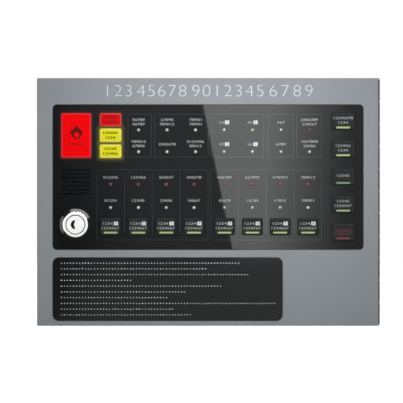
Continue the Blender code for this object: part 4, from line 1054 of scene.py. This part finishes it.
def make_camera():
    """Camera square to the front, far away behind a long lens."""
    data = bpy.data.cameras.new("camera")
    data.lens = LENS_MM
    data.sensor_width = SENSOR_MM
    camera = bpy.data.objects.new("camera", data)
    camera.location = (AIM_X, FASCIA_FACE - CAMERA_DISTANCE, AIM_Z)
    camera.rotation_euler = (np.pi / 2, 0, 0)
    bpy.context.scene.collection.objects.link(camera)
    bpy.context.scene.camera = camera


def seen_directly(tree):
    """1 for what the camera, a mirror or a glass sees, and 0 for light that falls on a surface."""
    path = add(tree, "ShaderNodeLightPath").outputs
    shown = maths(tree, "MAXIMUM", path["Is Camera Ray"], path["Is Glossy Ray"])
    return maths(tree, "MAXIMUM", shown, path["Is Transmission Ray"])


def make_world():
    """White where it is seen, and a soft even light elsewhere."""
    world = bpy.data.worlds.new("studio")
    world.use_nodes = True
    tree = world.node_tree
    background = tree.nodes["Background"]
    background.inputs["Color"].default_value = (1, 1, 1, 1)
    connect(tree, background, Strength=between(tree, seen_directly(tree), WORLD_LIGHT, 1.0))
    bpy.context.scene.world = world


def stage_plane(name, corners):
    """A flat stage piece from its four corners."""
    mesh = bpy.data.meshes.new(name)
    mesh.from_pydata(corners, [], [(0, 1, 2, 3)])
    plane = bpy.data.objects.new(name, mesh)
    bpy.context.scene.collection.objects.link(plane)
    surface = bpy.data.materials.new(name)
    surface.use_nodes = True
    surface.node_tree.nodes.clear()
    mesh.materials.append(surface)
    return plane, surface.node_tree


def make_floor():
    """Pale floor: white where it is seen, darker where a shadow falls. Gloss doesn't see it."""
    signs = ((-1, -1), (1, -1), (1, 1), (-1, 1))
    floor, tree = stage_plane("floor", [(x * FLOOR_REACH, y * FLOOR_REACH, FLOOR_Z) for x, y in signs])
    floor.visible_glossy = False
    share = maths(tree, "MULTIPLY", seen_directly(tree), FLOOR_LIGHT)
    light = add(tree, "ShaderNodeEmission", {"Strength": share}).outputs["Emission"]
    matt = add(tree, "ShaderNodeBsdfDiffuse", {"Color": linear("B8BABC")}).outputs["BSDF"]
    both = add(tree, "ShaderNodeAddShader", {0: light, 1: matt}).outputs["Shader"]
    add(tree, "ShaderNodeOutputMaterial", {"Surface": both})


def card_ramp(tree, place, first, second, spread, steps):
    """Brightness across a line on the card, from steps of distance on the fascia in metres and brightness."""
    run = (second - first) / np.linalg.norm(second - first)
    across = np.array((-run[1], run[0]))
    side = vector_maths(tree, "DOT_PRODUCT", place, (across[0], 0, across[1]), result="Value")
    distances, levels = np.array(steps).T
    stretched = float(across @ first) + distances * spread
    share = between(tree, side, 0.0, 1.0, stretched[0], stretched[-1])
    ramp = add(tree, "ShaderNodeValToRGB", {"Fac": share})
    stops = ramp.color_ramp.elements
    for distance in distances[1:-1]:
        stops.new((distance - distances[0]) / (distances[-1] - distances[0]))
    for stop, value in zip(stops, levels):
        stop.color = (value, value, value, 1.0)
    return ramp.outputs["Color"]


def make_reflection_card():
    """Card in front that only gloss sees: dark on the left, bright right of a slanted edge, then fading.

    Its lower part, which the instruction plate mirrors, brightens softly from left to right. A point at x on
    the fascia mirrors the card at x + (x - camera x) times the card's distance over the camera's.
    """
    reach = (FASCIA_FACE - CARD_Y) / CAMERA_DISTANCE
    seen = np.array((
        (-0.0055, 0.1018), (0.0254, -0.0499), (0.1300, 0.0987), (0.1215, -0.0451),
        (-0.172, -0.055), (-0.172, -0.12), (0.190, 0.130),
    ))
    mirrored = seen + (seen - (AIM_X, AIM_Z)) * reach
    edge_top, edge_bottom, fade_top, fade_bottom, plate_top, plate_bottom, corner = mirrored
    signs = ((-1, -1), (-1, 1), (1, 1), (1, -1))
    card, tree = stage_plane("reflection_card", [(x * corner[0], CARD_Y, z * corner[1]) for x, z in signs])
    for way in ("camera", "diffuse", "transmission", "volume_scatter", "shadow"):
        setattr(card, "visible_" + way, False)
    place = add(tree, "ShaderNodeTexCoord").outputs["Object"]
    edge = card_ramp(
        tree, place, edge_top, edge_bottom, 1 + reach,
        ((-0.158, 0.03), (-0.114, 0.09), (-0.088, 0.13), (-0.0005, 0.14), (0.0003, 1.0), (0.044, 1.0)),
    )
    fade = card_ramp(
        tree, place, fade_top, fade_bottom, 1 + reach,
        ((-0.065, 1.0), (-0.048, 0.80), (-0.015, 0.44), (0.018, 0.16), (0.057, 0.10)),
    )
    soft = card_ramp(
        tree, place, plate_top, plate_bottom, 1 + reach,
        ((0.0, 0.02), (0.018, 0.10), (0.040, 0.27), (0.070, 0.35), (0.262, 0.37)),
    )
    upward = axes_of(tree, place)["Z"]
    lift = between(tree, upward, *CARD_LIGHT, fade_bottom[1], fade_top[1])
    under = maths(tree, "LESS_THAN", upward, plate_top[1])
    shown = mix(tree, under, mix(tree, 1.0, edge, fade, "MULTIPLY"), soft)
    light = add(tree, "ShaderNodeEmission", {"Color": shown, "Strength": lift}).outputs["Emission"]
    add(tree, "ShaderNodeOutputMaterial", {"Surface": light})


def make_light(name, place, aim, size, power, unseen_by):
    """A soft rectangular lamp that faces a point; one kind of ray, "glossy" or "diffuse", doesn't see it."""
    data = bpy.data.lights.new(name, "AREA")
    data.shape = "RECTANGLE"
    data.size, data.size_y = size
    data.energy = power
    lamp = bpy.data.objects.new(name, data)
    lamp.location = place
    lamp.rotation_euler = (Vector(aim) - Vector(place)).to_track_quat("-Z", "Y").to_euler()
    lamp.visible_camera = False
    setattr(lamp, "visible_" + unseen_by, False)
    bpy.context.scene.collection.objects.link(lamp)
    return lamp


def keep_off(lamp, nodes):
    """Leave some nodes out of what a lamp shines on, so that it doesn't bleach them."""
    left_out = bpy.data.collections.new(lamp.name + "_left_out")
    for node in nodes:
        left_out.objects.link(bpy.data.objects[node])
    for member in left_out.collection_objects:
        member.light_linking.link_state = "EXCLUDE"
    lamp.light_linking.receiver_collection = left_out


make_camera()
make_world()
make_floor()
make_reflection_card()
LOCK = JOINTS["lock_turn"]["pos_m"]
make_light("key_light", (0.025, -0.396, 0.10), (0.025, -0.096, 0.10), (0.24, 0.16), 0.8, "glossy")
make_light("rear_light", (-0.30, 1.10, 0.90), (0.0, 0.0, 0.0), (0.90, 0.60), 7.0, "glossy")
make_light("floor_bounce", (0.03, -0.36, -0.40), (0.0, -0.096, -0.13), (0.50, 0.20), 1.2, "glossy")
upper_shine = make_light("upper_right_shine", (0.16, -0.74, 0.755), LOCK, (1.25, 0.80), 95.0, "diffuse")
left_shine = make_light("left_shine", (-1.16, -0.74, -0.03), LOCK, (0.30, 1.27), 15.0, "diffuse")
for shine in (upper_shine, left_shine):
    keep_off(shine, UNSHONE)
bpy.context.scene.view_settings.view_transform = "Standard"
